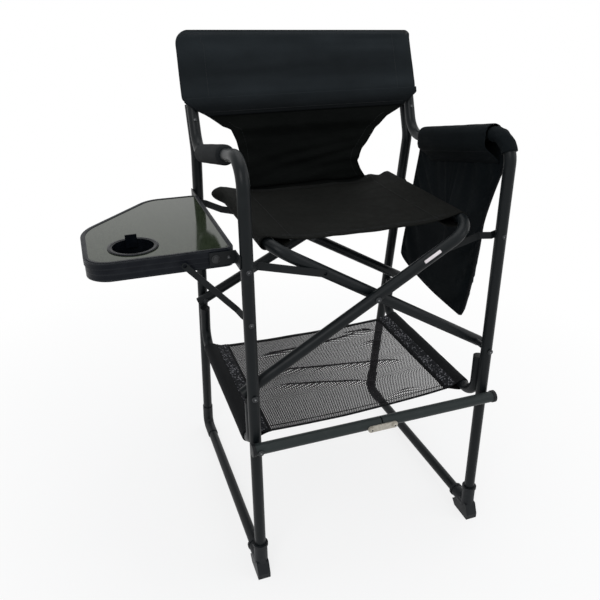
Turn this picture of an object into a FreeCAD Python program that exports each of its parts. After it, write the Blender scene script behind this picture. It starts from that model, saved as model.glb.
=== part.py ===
import FreeCAD, Part
import Sketcher
import math
import os
import re

# Folding director's chair with a side table, a footrest, a storage tray and a hanging bag.
# Millimetres. X runs across the chair, Y from front to rear, Z up, and the floor is Z = 0.
# Points below are measured from the middle plane of the chair (x = 0) and from a line on the
# floor under the seat (y = 0); chair_x and chair_y then move everything so that the origin is
# under the middle of the whole chair, table and bag included.

SIZES = {
    # tubing
    "tube_diameter": 25,
    "tube_wall": 1.5,
    "touch_gap": 0.1,
    "run_gap": 0.4,
    "side_spacing": 276,
    # side frame: front leg, arm and back upright in one bent tube
    "front_foot_y": -260.4,
    "front_lean": 0.032,
    "side_tube_foot": 16,
    "arm_front_height": 965,
    "arm_front_bend": 50,
    "arm_drop": 0.209,
    "arm_rear_y": 171,
    "arm_rear_bend": 55,
    "recline": 0.376,
    "upright_top": 1118,
    # rear leg and base rail
    "rear_foot_y": 322.6,
    "rear_lean": 0.145,
    "rear_leg_bend": 60,
    "rear_leg_top": 976,
    "elbow_wall": 1.8,
    "elbow_bend": 22,
    "elbow_arm": 42,
    "elbow_seat": 12,
    # front boot
    "boot_wall": 3,
    "boot_socket": 50,
    "boot_ring_wall": 5,
    "boot_ring_length": 6,
    "boot_toe": 24,
    "boot_toe_height": 13,
    "boot_sole_length": 56,
    # storage tray rails
    "tray_height": 343,
    "tray_bend": 40,
    "tray_rail_top": 449,
    # scissor
    "scissor_height": 482,
    "scissor_angle": 30.8,
    "scissor_reach": 576,
    "scissor_pitch": 26.5,
    "scissor_slant": 0.125,
    "scissor_bend": 55,
    "scissor_tail": 15,
    "plug_thickness": 3,
    "pin_radius": 4,
    "pin_gap": 0.06,
    "head_radius": 6.5,
    "head_height": 2,
    "head_standoff": 1.5,
    "spacer_wall": 2,
    # links between the legs and the scissor
    "link_height": 755,
    "link_setback": 128.7,
    "link_width": 16,
    "link_thickness": 2.5,
    "link_eye": 14,
    "link_end": 8,
    "link_gap": 1,
    "link_rear_gap": 3.2,
    "link_bar_gap": 6,
    # footrest
    "footrest_height": 370,
    "footrest_standoff": 27.4,
    "footrest_overhang": 14.5,
    "footrest_butt_gap": 1.5,
    "footrest_cap_wall": 1.5,
    "footrest_cap_length": 6,
    "plate_spacing": 55,
    "plate_drop": 4,
    "plate_width": 16,
    "plate_thickness": 2.5,
    # side table
    "table_gap": 15,
    "table_width": 266,
    "table_top_height": 789,
    "table_front_y": -203,
    "table_rear_y": 150,
    "table_depth": 35,
    "table_wall": 3,
    "table_lip": 1.5,
    "table_lip_height": 12,
    "table_board": 7,
    "table_chamfer_y": -18,
    "table_chamfer_slope": 1.1,
    "table_front_corner": 45,
    "table_side_corner": 100,
    "table_rear_corner": 60,
    "table_inner_corner": 16,
    "bolt_inset": 36,
    "bolt_drop": 16,
    "bolt_head": 8.5,
    "bracket_thickness": 2.5,
    "bracket_height": 26,
    "bracket_reach": 12,
    "strut_height": 646,
    "strut_top_inset": 95,
    "strut_top_drop": 19,
    "strut_width": 12,
    # cup holder
    "cup_inset": 90,
    "cup_y": -134,
    "cup_radius": 38.5,
    "cup_wall": 2.5,
    "cup_flange": 6,
    "cup_rebate": 1,
    "cup_depth": 29,
    "cup_tab_width": 22,
    "cup_tab_rise": 12,
    # arm grips
    "grip_radius": 20,
    "grip_front_y": -112,
    "grip_length": 240,
    # fabric
    "cloth": 4,
    "sleeve_radius": 15.5,
    "sleeve_gap": 0.4,
    "band_bottom": 992,
    "band_top_room": 8,
    "panel_top": 988,
    "panel_bottom": 786,
    "panel_y": 186,
    "panel_lean": 0.05,
    "panel_shoulder": 262,
    "panel_waist": 156,
    "panel_flare": 176,
    "seat_front_y": -206,
    "seat_rear_y": 168,
    "seat_sag": 9,
    "mesh_front_y": -180,
    "mesh_rear_y": 204,
    "mesh_drop": 4,
    # hanging bag
    "strap_thickness": 2,
    "strap_width": 30,
    "strap_front_y": -70,
    "strap_rear_y": 80,
    "bag_gap": 0.3,
    "bag_depth": 30,
    "bag_front_y": -168,
    "bag_rear_y": 220,
    "bag_top_height": 930,
    "bag_bottom_height": 494,
    "bag_corner": 45,
    "flap_thickness": 2.5,
    "flap_drop": 150,
}

# Sizes that follow from the ones above, each as a formula.
DERIVED = {
    "tube_radius": "tube_diameter / 2",
    "side_by_side": "tube_diameter + touch_gap",
    "scissor_slope": "tan(scissor_angle * 1 deg)",
    "scissor_run": "side_spacing / cos(scissor_angle * 1 deg)",
    "link_reach": "scissor_reach - scissor_run - link_setback",
    "elbow_radius": "tube_radius + touch_gap + elbow_wall",
    "elbow_turn": "90 deg + atan(rear_lean) + atan(front_lean)",
    "elbow_tangent": "elbow_bend * tan(elbow_turn / 2)",
    "rear_corner_z": "elbow_radius + elbow_bend * (1 - cos(atan(front_lean)))"
                     " - elbow_tangent * sin(atan(front_lean))",
    "rear_reach": "rear_foot_y - elbow_tangent * cos(atan(front_lean))"
                  " + elbow_bend * (1 + sin(atan(front_lean))) + elbow_radius",
    "footrest_y": "front_foot_y + footrest_height * front_lean - footrest_standoff",
    "plate_face_y": "footrest_y - tube_radius - run_gap",
    "front_reach": "plate_face_y - plate_thickness - touch_gap - head_height",
    "bag_inner": "side_spacing + grip_radius + touch_gap + strap_thickness + bag_gap",
    "bag_reach": "bag_inner + bag_depth + flap_thickness",
    "table_inner": "side_spacing + table_gap",
    "table_reach": "table_inner + table_width",
    "chair_x": "(table_reach + table_lip - bag_reach) / 2",
    "chair_y": "-(rear_reach + front_reach) / 2",
    "junction_z": "rear_corner_z + (rear_foot_y - front_foot_y) * front_lean",
    "junction_y": "front_foot_y + junction_z * front_lean",
    "arm_front_y": "front_foot_y + arm_front_height * front_lean",
    "arm_rear_height": "arm_front_height - (arm_rear_y - arm_front_y) * arm_drop",
    "upright_pitch": "side_by_side * sqrt(1 + recline * recline)",
    "rear_knee_z": "(rear_foot_y + rear_corner_z * rear_lean - arm_rear_y - upright_pitch"
                   " + arm_rear_height * recline) / (recline + rear_lean)",
    "rear_knee_y": "rear_foot_y - (rear_knee_z - rear_corner_z) * rear_lean",
    "bolt_x": "table_inner + bolt_inset",
    "bolt_z": "table_top_height - bolt_drop",
    "table_floor": "table_top_height - table_depth",
    "board_z": "table_top_height - table_board",
    "cup_x": "table_reach - cup_inset",
    "hole_radius": "pin_radius + pin_gap",
}


def front_leg_y(height):
    """Axis of the front leg at a height."""
    return f"(front_foot_y + ({height}) * front_lean)"


def rear_leg_y(height):
    """Axis of the rear leg at a height below its knee."""
    return f"(rear_foot_y - (({height}) - rear_corner_z) * rear_lean)"


def upright_y(height):
    """Axis of the back upright at a height."""
    return f"(arm_rear_y + (({height}) - arm_rear_height) * recline)"


def arm_height(y):
    """Axis of the arm at a distance from front to rear."""
    return f"(arm_front_height - (({y}) - arm_front_y) * arm_drop)"


doc = FreeCAD.newDocument("director_chair")
sheet = doc.addObject("Spreadsheet::Sheet", "Sizes")
for row, (alias, size) in enumerate(SIZES.items(), start=1):
    sheet.set(f"A{row}", alias)
    sheet.set(f"B{row}", str(size))
    sheet.setAlias(f"B{row}", alias)
doc.recompute()


def formula(text):
    """Write a formula out in cells of the sheet."""
    def spell(found):
        word = found.group(0)
        if word in SIZES:
            return "Sizes." + word
        if word in DERIVED:
            return "(" + formula(DERIVED[word]) + ")"
        return word
    return re.sub(r"[a-z][a-z_]*", spell, str(text))


def value(text):
    """The number that a formula gives now."""
    result = sheet.evalExpression(formula(text))
    return float(getattr(result, "Value", result))


def bind(item, name, text):
    """Tie a property to a formula, so that it follows the sheet."""
    item.setExpression(name, formula(text))


def place(item, x, y, z, axis=(1, 0, 0), angle=None):
    """Put a sub-part at a point of the chair, turned about an axis."""
    turn = FreeCAD.Rotation(FreeCAD.Vector(*axis), value(angle) if angle else 0)
    item.Placement = FreeCAD.Placement(FreeCAD.Vector(0, 0, 0), turn)
    bind(item, "Placement.Base.x", f"chair_x + {x}")
    bind(item, "Placement.Base.y", f"chair_y + {y}")
    bind(item, "Placement.Base.z", z)
    if angle:
        bind(item, "Placement.Rotation.Angle", angle)
    return item


def new_body(label):
    body = doc.addObject("PartDesign::Body", label)
    body.Label = label
    return body


def new_sketch(body, role, lift=None):
    """A sketch on one of the body's own origin planes, lifted off it where asked."""
    sketch = body.newObject("Sketcher::SketchObject", body.Name + "_sketch")
    plane = next(item for item in body.Origin.OriginFeatures if item.Role == role)
    sketch.AttachmentSupport = [(plane, "")]
    sketch.MapMode = "FlatFace"
    if lift:
        bind(sketch, "AttachmentOffset.Base.z", lift)
    return sketch


def fix_point(sketch, item, end, point):
    """Hold one point of the sketch at two formulas."""
    for kind, text in zip(("DistanceX", "DistanceY"), point):
        index = sketch.addConstraint(Sketcher.Constraint(kind, -1, 1, item, end, value(text)))
        bind(sketch, f"Constraints[{index}]", text)


def draw_run(sketch, points, radii, closed=False):
    """Straight lines through the points, with a tangent arc at each corner that has a radius.

    points are pairs of formulas; radii has one formula, or None for a sharp corner, per point.
    """
    count = len(points)
    at = [FreeCAD.Vector(value(u), value(v), 0) for u, v in points]
    leave = list(at)
    enter = list(at)
    arcs = {}
    for i in range(count):
        if radii[i] is None:
            continue
        before = (at[i - 1] - at[i]).normalize()
        after = (at[(i + 1) % count] - at[i]).normalize()
        half = before.getAngle(after) / 2
        radius = value(radii[i])
        enter[i] = at[i] + before * (radius / math.tan(half))
        leave[i] = at[i] + after * (radius / math.tan(half))
        centre = at[i] + (before + after).normalize() * (radius / math.sin(half))
        arcs[i] = (centre, radius, before.cross(after).z < 0)
    runs = count if closed else count - 1
    for i in range(runs):
        sketch.addGeometry(Part.LineSegment(leave[i], enter[(i + 1) % count]), False)
    for i in range(count):
        line_in = (i - 1) % count
        line_out = i
        if i in arcs:
            centre, radius, left_turn = arcs[i]
            first, last = (enter[i], leave[i]) if left_turn else (leave[i], enter[i])
            start = math.atan2(first.y - centre.y, first.x - centre.x)
            stop = math.atan2(last.y - centre.y, last.x - centre.x)
            circle = Part.Circle(centre, FreeCAD.Vector(0, 0, 1), radius)
            arc = sketch.addGeometry(Part.ArcOfCircle(circle, start, stop), False)
            corner = sketch.addGeometry(Part.Point(at[i]), True)
            fix_point(sketch, corner, 1, points[i])
            sketch.addConstraint(Sketcher.Constraint("PointOnObject", corner, 1, line_in))
            sketch.addConstraint(Sketcher.Constraint("PointOnObject", corner, 1, line_out))
            ends = (1, 2) if left_turn else (2, 1)
            sketch.addConstraint(Sketcher.Constraint("Tangent", line_in, 2, arc, ends[0]))
            sketch.addConstraint(Sketcher.Constraint("Tangent", line_out, 1, arc, ends[1]))
            index = sketch.addConstraint(Sketcher.Constraint("Radius", arc, radius))
            bind(sketch, f"Constraints[{index}]", radii[i])
        elif closed or 0 < i < count - 1:
            sketch.addConstraint(Sketcher.Constraint("Coincident", line_in, 2, line_out, 1))
            fix_point(sketch, line_out, 1, points[i])
        elif i == 0:
            fix_point(sketch, line_out, 1, points[i])
        else:
            fix_point(sketch, line_in, 2, points[i])
    return runs + len(arcs)


def draw_outline(sketch, points, radii=None):
    return draw_run(sketch, points, radii or [None] * len(points), closed=True)


def draw_circle(sketch, point, radius):
    centre = FreeCAD.Vector(value(point[0]), value(point[1]), 0)
    circle = Part.Circle(centre, FreeCAD.Vector(0, 0, 1), value(radius))
    item = sketch.addGeometry(circle, False)
    fix_point(sketch, item, 3, point)
    index = sketch.addConstraint(Sketcher.Constraint("Radius", item, circle.Radius))
    bind(sketch, f"Constraints[{index}]", radius)


def draw_ring(sketch, outer, inner, point=("0", "0")):
    draw_circle(sketch, point, outer)
    draw_circle(sketch, point, inner)


def pad(body, sketch, length, middle=False, flip=False):
    """Thicken a sketch along its normal."""
    feature = body.newObject("PartDesign::Pad", body.Name + "_pad")
    feature.Profile = sketch
    bind(feature, "Length", length)
    feature.SideType = "Symmetric" if middle else "One side"
    feature.Reversed = flip
    sketch.Visibility = False
    return feature


def pocket(body, sketch, depth=None, flip=False):
    """Cut a sketch right through the body both ways, or to a depth on one side."""
    feature = body.newObject("PartDesign::Pocket", body.Name + "_pocket")
    feature.Profile = sketch
    if depth:
        bind(feature, "Length", depth)
        feature.Reversed = flip
    else:
        feature.Type = "ThroughAll"
        feature.SideType = "Symmetric"
    return feature


def revolve(body, points):
    """Turn a profile of (radius, height) points about the body's Z axis."""
    sketch = new_sketch(body, "XZ_Plane")
    draw_outline(sketch, points)
    feature = body.newObject("PartDesign::Revolution", body.Name + "_turn")
    feature.Profile = sketch
    feature.ReferenceAxis = (sketch, ["V_Axis"])
    feature.Angle = 360
    return feature


def bend_tube(body, role, points, radii, outer="tube_radius", wall="tube_wall"):
    """Sweep a ring along a bent run drawn on one of the body's planes."""
    path = new_sketch(body, role)
    edges = draw_run(path, points, radii)
    doc.recompute()
    ring = body.newObject("Sketcher::SketchObject", body.Name + "_ring")
    ring.AttachmentSupport = [(path, "Edge1")]
    ring.MapMode = "NormalToEdge"
    draw_ring(ring, outer, f"{outer} - {wall}")
    pipe = body.newObject("PartDesign::AdditivePipe", body.Name + "_pipe")
    pipe.Profile = ring
    pipe.Spine = (path, [f"Edge{number + 1}" for number in range(edges)])
    return body


def straight_tube(body, role, length, lift=None, outer="tube_radius", wall="tube_wall"):
    ring = new_sketch(body, role, lift)
    draw_ring(ring, outer, f"{outer} - {wall}")
    pad(body, ring, length)
    return body


def drill(body, role, spots, radius="hole_radius", depth=None, lift=None, flip=False):
    """Round holes at the spots, right through or to a depth."""
    sketch = new_sketch(body, role, lift)
    for spot in spots:
        draw_circle(sketch, spot, radius)
    pocket(body, sketch, depth, flip)


def drill_wall(body, height, axis_y, rear_wall):
    """A rivet hole through one wall only of a tube that stands at axis_y at that height."""
    drill(body, "XZ_Plane", [("0", height)], depth="tube_diameter", lift=f"-{axis_y}",
          flip=not rear_wall)


def turned_pin(name, length, tail=True):
    """A rivet along Z: a head below zero, the shank, and a second head where the tail is set."""
    profile = [
        ("0", "-head_height"),
        ("head_radius", "-head_height"),
        ("head_radius", "0"),
        ("pin_radius", "0"),
        ("pin_radius", length),
    ]
    if tail:
        profile += [
            ("head_radius", length),
            ("head_radius", f"{length} + head_height"),
            ("0", f"{length} + head_height"),
        ]
    else:
        profile += [("0", length)]
    body = new_body(name)
    revolve(body, profile)
    return body


def group(label, pieces):
    """Several like pieces kept as one sub-part of separate solids."""
    compound = doc.addObject("Part::Compound", label)
    compound.Label = label
    compound.Links = pieces
    return compound


SUBPARTS = []


def keep(*items):
    SUBPARTS.extend(items)


SIDES = (("left", -1), ("right", 1))


# ---------------------------------------------------------------- side frames

def side_tube(side, sign):
    """Front leg, arm and back upright: one tube with two bends."""
    body = new_body(f"{side}_side_tube")
    points = [
        (front_leg_y("side_tube_foot"), "side_tube_foot"),
        ("arm_front_y", "arm_front_height"),
        ("arm_rear_y", "arm_rear_height"),
        (upright_y("upright_top"), "upright_top"),
    ]
    bend_tube(body, "YZ_Plane", points, [None, "arm_front_bend", "arm_rear_bend", None])
    drill(body, "XZ_Plane", [("0", "scissor_height")])
    drill_wall(body, "link_height", front_leg_y("link_height"), rear_wall=True)
    if side == "left":
        drill_wall(body, "strut_height", front_leg_y("strut_height"), rear_wall=True)
        drill_wall(body, "footrest_height", front_leg_y("footrest_height"), rear_wall=False)
    return place(body, f"{sign} * side_spacing", "0", "0")


def rear_leg(side, sign):
    """The rear leg bends at its knee to lie along the back of the upright."""
    body = new_body(f"{side}_rear_leg")
    foot = "rear_corner_z + elbow_tangent"
    points = [
        (rear_leg_y(foot), foot),
        ("rear_knee_y", "rear_knee_z"),
        (f"{upright_y('rear_leg_top')} + upright_pitch", "rear_leg_top"),
    ]
    bend_tube(body, "YZ_Plane", points, [None, "rear_leg_bend", None])
    drill(body, "XZ_Plane", [("0", "scissor_height")])
    drill_wall(body, "link_height", rear_leg_y("link_height"), rear_wall=False)
    if side == "left":
        drill_wall(body, "strut_height", rear_leg_y("strut_height"), rear_wall=False)
    return place(body, f"{sign} * side_spacing", "0", "0")


def base_rail(side, sign):
    """The rail on the floor, square to the front leg, from the boot back to the elbow."""
    body = new_body(f"{side}_base_rail")
    start = "(tube_radius + boot_wall)"
    length = f"(rear_foot_y - junction_y) / cos(atan(front_lean)) - {start} - elbow_tangent"
    straight_tube(body, "XY_Plane", length, lift=start)
    turn = "-90 deg - atan(front_lean)"
    return place(body, f"{sign} * side_spacing", "junction_y", "junction_z", angle=turn)


def front_boot(side, sign):
    """Moulded corner fitting: a toe on the floor and two ringed sockets."""
    body = new_body(f"{side}_front_boot")
    toe = f"{front_leg_y('0')} - boot_toe"
    heel = f"{toe} + boot_sole_length"
    sole = new_sketch(body, "YZ_Plane")
    outline = [
        (toe, "0"),
        (heel, "0"),
        (f"{heel} + boot_toe_height", "boot_toe_height"),
        ("junction_y + tube_radius", "junction_z + tube_radius"),
        (f"{front_leg_y('0')} - tube_radius", "junction_z + tube_radius / 2"),
        (toe, "boot_toe_height"),
    ]
    draw_outline(sole, outline)
    pad(body, sole, "2 * (tube_radius + boot_wall - 1)", middle=True)
    socket = "tube_radius + boot_wall"
    ring = f"{socket} + boot_ring_wall - boot_wall"
    leg = "-atan(front_lean)"
    rail = "-90 deg - atan(front_lean)"
    for turn in (leg, rail):
        for radius, start, length in (
            (socket, "0", "boot_socket"),
            (ring, "boot_socket", "boot_ring_length"),
        ):
            tube = body.newObject("PartDesign::AdditiveCylinder", body.Name + "_socket")
            aim(tube, turn, start)
            bind(tube, "Radius", radius)
            bind(tube, "Height", length)
    for turn, start in ((leg, "side_tube_foot - junction_z - touch_gap"), (rail, "tube_radius")):
        bore = body.newObject("PartDesign::SubtractiveCylinder", body.Name + "_bore")
        aim(bore, turn, start)
        bind(bore, "Radius", "tube_radius + touch_gap")
        bind(bore, "Height", "2 * boot_socket")
    return place(body, f"{sign} * side_spacing", "0", "0")


def aim(cylinder, turn, start):
    """Point a socket from the junction of leg and rail, starting some way along."""
    cylinder.Placement = FreeCAD.Placement(
        FreeCAD.Vector(0, 0, 0),
        FreeCAD.Rotation(FreeCAD.Vector(1, 0, 0), value(turn)),
    )
    bind(cylinder, "Placement.Rotation.Angle", turn)
    bind(cylinder, "Placement.Base.y", f"junction_y - ({start}) * sin({turn})")
    bind(cylinder, "Placement.Base.z", f"junction_z + ({start}) * cos({turn})")


def rear_elbow(side, sign):
    """Plastic sleeve round the corner, which the chair stands on at the rear."""
    body = new_body(f"{side}_rear_elbow")
    reach = "(elbow_tangent + elbow_arm)"
    lean = "atan(front_lean)"
    leg = "atan(rear_lean)"
    points = [
        (f"rear_foot_y - {reach} * cos({lean})", f"rear_corner_z + {reach} * sin({lean})"),
        ("rear_foot_y", "rear_corner_z"),
        (f"rear_foot_y - {reach} * sin({leg})", f"rear_corner_z + {reach} * cos({leg})"),
    ]
    bend_tube(body, "YZ_Plane", points, [None, "elbow_bend", None], outer="elbow_radius",
              wall="elbow_wall")
    return place(body, f"{sign} * side_spacing", "0", "0")


def tray_rail(side, sign):
    """U-shaped rail of the storage tray, its ends turned up against the legs."""
    body = new_body(f"{side}_tray_rail")
    front = f"{front_leg_y('tray_rail_top')} + side_by_side"
    front_foot = f"{front_leg_y('tray_height')} + side_by_side"
    spread = "side_by_side * sqrt(1 + rear_lean * rear_lean)"
    points = [
        (front, "tray_rail_top"),
        (front_foot, "tray_height"),
        (f"{rear_leg_y('tray_height')} - {spread}", "tray_height"),
        (f"{rear_leg_y('tray_rail_top')} - {spread}", "tray_rail_top"),
    ]
    bend_tube(body, "YZ_Plane", points, [None, "tray_bend", "tray_bend", None])
    return place(body, f"{sign} * side_spacing", "0", "0")


def arm_grip(side, sign):
    """Round foam grip on the arm."""
    body = new_body(f"{side}_arm_grip")
    straight_tube(body, "XY_Plane", "grip_length", outer="grip_radius",
                  wall="(grip_radius - tube_radius - touch_gap)")
    turn = "-90 deg - atan(arm_drop)"
    return place(body, f"{sign} * side_spacing", "grip_front_y", arm_height("grip_front_y"),
                 angle=turn)


def tube_plug(name, x, y, z, turn):
    """Flat-topped plastic plug on the end of a tube."""
    body = new_body(name)
    face = new_sketch(body, "XY_Plane")
    draw_circle(face, ("0", "0"), "tube_radius")
    pad(body, face, "plug_thickness")
    return place(body, x, y, z, angle=turn)


def tube_plugs(side, sign):
    x = f"{sign} * side_spacing"
    front = f"{front_leg_y('tray_rail_top')} + side_by_side"
    rear = f"{rear_leg_y('tray_rail_top')} - side_by_side * sqrt(1 + rear_lean * rear_lean)"
    back = f"{upright_y('rear_leg_top')} + upright_pitch"
    ends = [
        ("upright", upright_y("upright_top"), "upright_top", "-atan(recline)"),
        ("rear_leg", back, "rear_leg_top", "-atan(recline)"),
        ("tray_front", front, "tray_rail_top", "-atan(front_lean)"),
        ("tray_rear", rear, "tray_rail_top", "atan(rear_lean)"),
    ]
    plugs = [tube_plug(f"{side}_{name}_plug", x, y, z, turn) for name, y, z, turn in ends]
    return group(f"{side}_tube_plugs", plugs)


for side, sign in SIDES:
    keep(side_tube(side, sign), rear_leg(side, sign), base_rail(side, sign))
    keep(front_boot(side, sign), rear_elbow(side, sign), tray_rail(side, sign))
    keep(arm_grip(side, sign), tube_plugs(side, sign))


# ---------------------------------------------------------------- scissor

PIVOT_FRONT_Y = front_leg_y("scissor_height")
PIVOT_REAR_Y = rear_leg_y("scissor_height")


def bar_y(layer, along):
    """Axis of a front and a rear scissor bar, a number of pitches inside the legs."""
    front = f"({PIVOT_FRONT_Y} + {layer} * scissor_pitch)"
    rear = f"({PIVOT_REAR_Y} - {layer} * scissor_pitch - ({along}) * scissor_slant)"
    return front, rear


def scissor_tube(name, layer, sign):
    """U of tube: its closed end is a seat rail, its two bars run down to the far legs."""
    body = new_body(name)
    tail = "-scissor_tail"
    front, rear_top = bar_y(layer, "scissor_reach")
    rear_tail = bar_y(layer, tail)[1]
    points = [
        (tail, front),
        ("scissor_reach", front),
        ("scissor_reach", rear_top),
        (tail, rear_tail),
    ]
    bend_tube(body, "XY_Plane", points, [None, "scissor_bend", "scissor_bend", None])
    drill(body, "XZ_Plane", [("0", "0"), ("scissor_run", "0")])
    turn = "scissor_angle * 1 deg" if sign < 0 else "180 deg - scissor_angle * 1 deg"
    return place(body, f"{sign} * side_spacing", "0", "scissor_height", axis=(0, -1, 0), angle=turn)


def scissor_pins(side, sign, layer):
    """Front and rear pivot pins, through the leg and the bar that lies a few pitches inside it."""
    x = f"{sign} * side_spacing"
    front_face = f"{PIVOT_FRONT_Y} - tube_radius - head_standoff"
    length = f"(tube_diameter + {layer} * scissor_pitch + 2 * head_standoff)"
    rear_face = f"{PIVOT_REAR_Y} - {layer} * scissor_pitch - tube_radius - head_standoff"
    pins = []
    for name, y in (("front", front_face), ("rear", rear_face)):
        pin = turned_pin(f"{side}_{name}_scissor_pin", length)
        pins.append(place(pin, x, y, "scissor_height", angle="-90 deg"))
    return group(f"{side}_scissor_pins", pins)


def spacers():
    """The inner tube stands off the right legs on two spacers."""
    radius = "(pin_radius + run_gap + touch_gap + spacer_wall)"
    pieces = []
    length = "(2 * scissor_pitch - tube_diameter - 2 * head_standoff)"
    for name, y in (
        ("front", f"{PIVOT_FRONT_Y} + tube_radius + head_standoff"),
        ("rear", f"{PIVOT_REAR_Y} - tube_radius - head_standoff - {length}"),
    ):
        body = new_body(f"{name}_spacer")
        straight_tube(body, "XY_Plane", length, outer=radius, wall="(spacer_wall + touch_gap)")
        pieces.append(place(body, "side_spacing", y, "scissor_height", angle="-90 deg"))
    return group("scissor_spacers", pieces)


def centre_pins():
    """Pins where the two scissor tubes cross under the seat."""
    height = "scissor_height + side_spacing * scissor_slope"
    outer_front, outer_rear = bar_y("1", "scissor_run")
    inner_front, inner_rear = bar_y("2", "scissor_run")
    length = "(tube_diameter + scissor_pitch + 2 * head_standoff)"
    pins = []
    for name, y in (("front", outer_front), ("rear", inner_rear)):
        pin = turned_pin(f"{name}_centre_pin", length)
        pins.append(place(pin, "0", f"{y} - tube_radius - head_standoff", height, angle="-90 deg"))
    return group("scissor_centre_pins", pins)


def scissor_plugs(name, layer, sign):
    """Plugs on the two lower ends of a scissor tube, square to its bars."""
    turn = "scissor_angle * 1 deg" if sign < 0 else "180 deg - scissor_angle * 1 deg"
    front, rear = bar_y(layer, "-scissor_tail")
    plugs = []
    for spot, y, slant in (("front", front, "0 deg"), ("rear", rear, "-atan(scissor_slant)")):
        body = new_body(f"{name}_{spot}_plug")
        face = new_sketch(body, "YZ_Plane")
        tilt = FreeCAD.Rotation(FreeCAD.Vector(0, 1, 0), value(slant))
        face.AttachmentOffset = FreeCAD.Placement(FreeCAD.Vector(0, 0, 0), tilt)
        bind(face, "AttachmentOffset.Base.x", y)
        bind(face, "AttachmentOffset.Base.z", "-scissor_tail")
        bind(face, "AttachmentOffset.Rotation.Angle", slant)
        draw_circle(face, ("0", "0"), "tube_radius")
        pad(body, face, "plug_thickness", flip=True)
        plugs.append(place(body, f"{sign} * side_spacing", "0", "scissor_height",
                           axis=(0, -1, 0), angle=turn))
    return group(f"{name}_plugs", plugs)


keep(scissor_tube("outer_scissor_tube", "1", -1), scissor_tube("inner_scissor_tube", "2", 1))
keep(scissor_pins("left", -1, "1"), scissor_pins("right", 1, "2"), spacers(), centre_pins())
keep(scissor_plugs("outer_scissor", "1", -1), scissor_plugs("inner_scissor", "2", 1))


# ---------------------------------------------------------------- links

LINK_CENTRE_Z = "(scissor_height + side_spacing * scissor_slope)"
LINK_RUN = "(side_spacing - link_reach * cos(scissor_angle * 1 deg))"
LINK_FALL = f"(link_height - {LINK_CENTRE_Z} - link_reach * sin(scissor_angle * 1 deg))"
LINK_LENGTH = f"sqrt({LINK_RUN} * {LINK_RUN} + {LINK_FALL} * {LINK_FALL})"
LINK_TILT = f"atan({LINK_FALL} / {LINK_RUN})"
LINK_ALONG = "(scissor_run + link_reach)"


def joggled_strap(body, length, step, width, eye, ends):
    """Flat strap along X with a joggle: its far end stands a step away in Y.

    A round hole at each end takes a pin.
    """
    sketch = new_sketch(body, "XY_Plane")
    near = "link_thickness"
    points = [
        (f"-({ends})", "0"),
        (eye, "0"),
        (f"{eye} + abs({step})", step),
        (f"{length} + {ends}", step),
        (f"{length} + {ends}", f"{step} + {near}"),
        (f"{eye} + abs({step})", f"{step} + {near}"),
        (eye, near),
        (f"-({ends})", near),
    ]
    draw_outline(sketch, points)
    pad(body, sketch, width, middle=True)
    doc.recompute()
    corners = []
    base = body.Tip
    far = value(f"{length} + {ends}")
    for number, edge in enumerate(base.Shape.Edges, start=1):
        middle = edge.BoundBox.Center
        thin = abs(edge.BoundBox.YLength - value(near)) < 1e-6 and edge.BoundBox.XLength < 1e-6
        if thin and (abs(middle.x - far) < 1e-6 or abs(middle.x + value(ends)) < 1e-6):
            corners.append(f"Edge{number}")
    round_off = body.newObject("PartDesign::Fillet", body.Name + "_round")
    round_off.Base = (base, corners)
    bind(round_off, "Radius", f"{width} / 2 - touch_gap")
    doc.recompute()
    drill(body, "XZ_Plane", [("0", "0"), (length, "0")])


def scissor_link(side, sign, end):
    """Strap from a leg to the scissor tube whose seat rail is on that side."""
    layer = "2" if side == "left" else "1"
    body = new_body(f"{side}_{end}_link")
    if end == "front":
        near = f"({front_leg_y('link_height')} + tube_radius + link_gap)"
        far = f"({bar_y(layer, '0')[0]} - tube_radius - run_gap - link_thickness)"
        if side == "right":
            far = f"({bar_y(layer, '0')[0]} + tube_radius + run_gap)"
    else:
        near = f"({rear_leg_y('link_height')} - tube_radius - link_rear_gap - link_thickness)"
        far = f"({bar_y(layer, LINK_ALONG)[1]} + tube_radius + link_bar_gap)"
    joggled_strap(body, LINK_LENGTH, f"({far} - {near})", "link_width", "link_eye", "link_end")
    turn = LINK_TILT if sign < 0 else f"180 deg - {LINK_TILT}"
    return place(body, f"{sign} * side_spacing", near, "link_height", axis=(0, 1, 0), angle=turn)


def strap_pins(name, x, height):
    """Pins that hold a front and a rear strap to the legs, each through one wall of its leg."""
    cover = "(link_thickness + touch_gap)"
    inside = "(tube_wall + run_gap)"
    front = f"({front_leg_y(height)} + tube_radius + link_gap + {cover})"
    rear = f"({rear_leg_y(height)} - tube_radius - link_rear_gap - {cover})"
    pins = []
    for end, y, length, turn in (
        ("front", front, f"({cover} + link_gap + {inside})", "90 deg"),
        ("rear", rear, f"({cover} + link_rear_gap + {inside})", "-90 deg"),
    ):
        pin = turned_pin(f"{name}_{end}", length, tail=False)
        pins.append(place(pin, x, y, height, angle=turn))
    return group(name, pins)


for side, sign in SIDES:
    for end in ("front", "rear"):
        keep(scissor_link(side, sign, end))
    keep(strap_pins(f"{side}_link_pins", f"{sign} * side_spacing", "link_height"))


# ---------------------------------------------------------------- footrest

def footrest_bar(side, sign):
    """Half of the footrest, from past the leg to the middle."""
    body = new_body(f"footrest_{side}_bar")
    ring = new_sketch(body, "YZ_Plane", f"{sign} * footrest_butt_gap")
    draw_ring(ring, "tube_radius", "tube_radius - tube_wall")
    length = "side_spacing + footrest_overhang - footrest_butt_gap"
    pad(body, ring, length, flip=sign < 0)
    pivot = f"{sign} * plate_spacing / 2"
    drill(body, "XZ_Plane", [(pivot, "-plate_drop")], depth="tube_diameter", flip=True)
    if sign < 0:
        drill(body, "XZ_Plane", [("-side_spacing", "0")])
    return place(body, "0", "footrest_y", "footrest_height")


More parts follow.
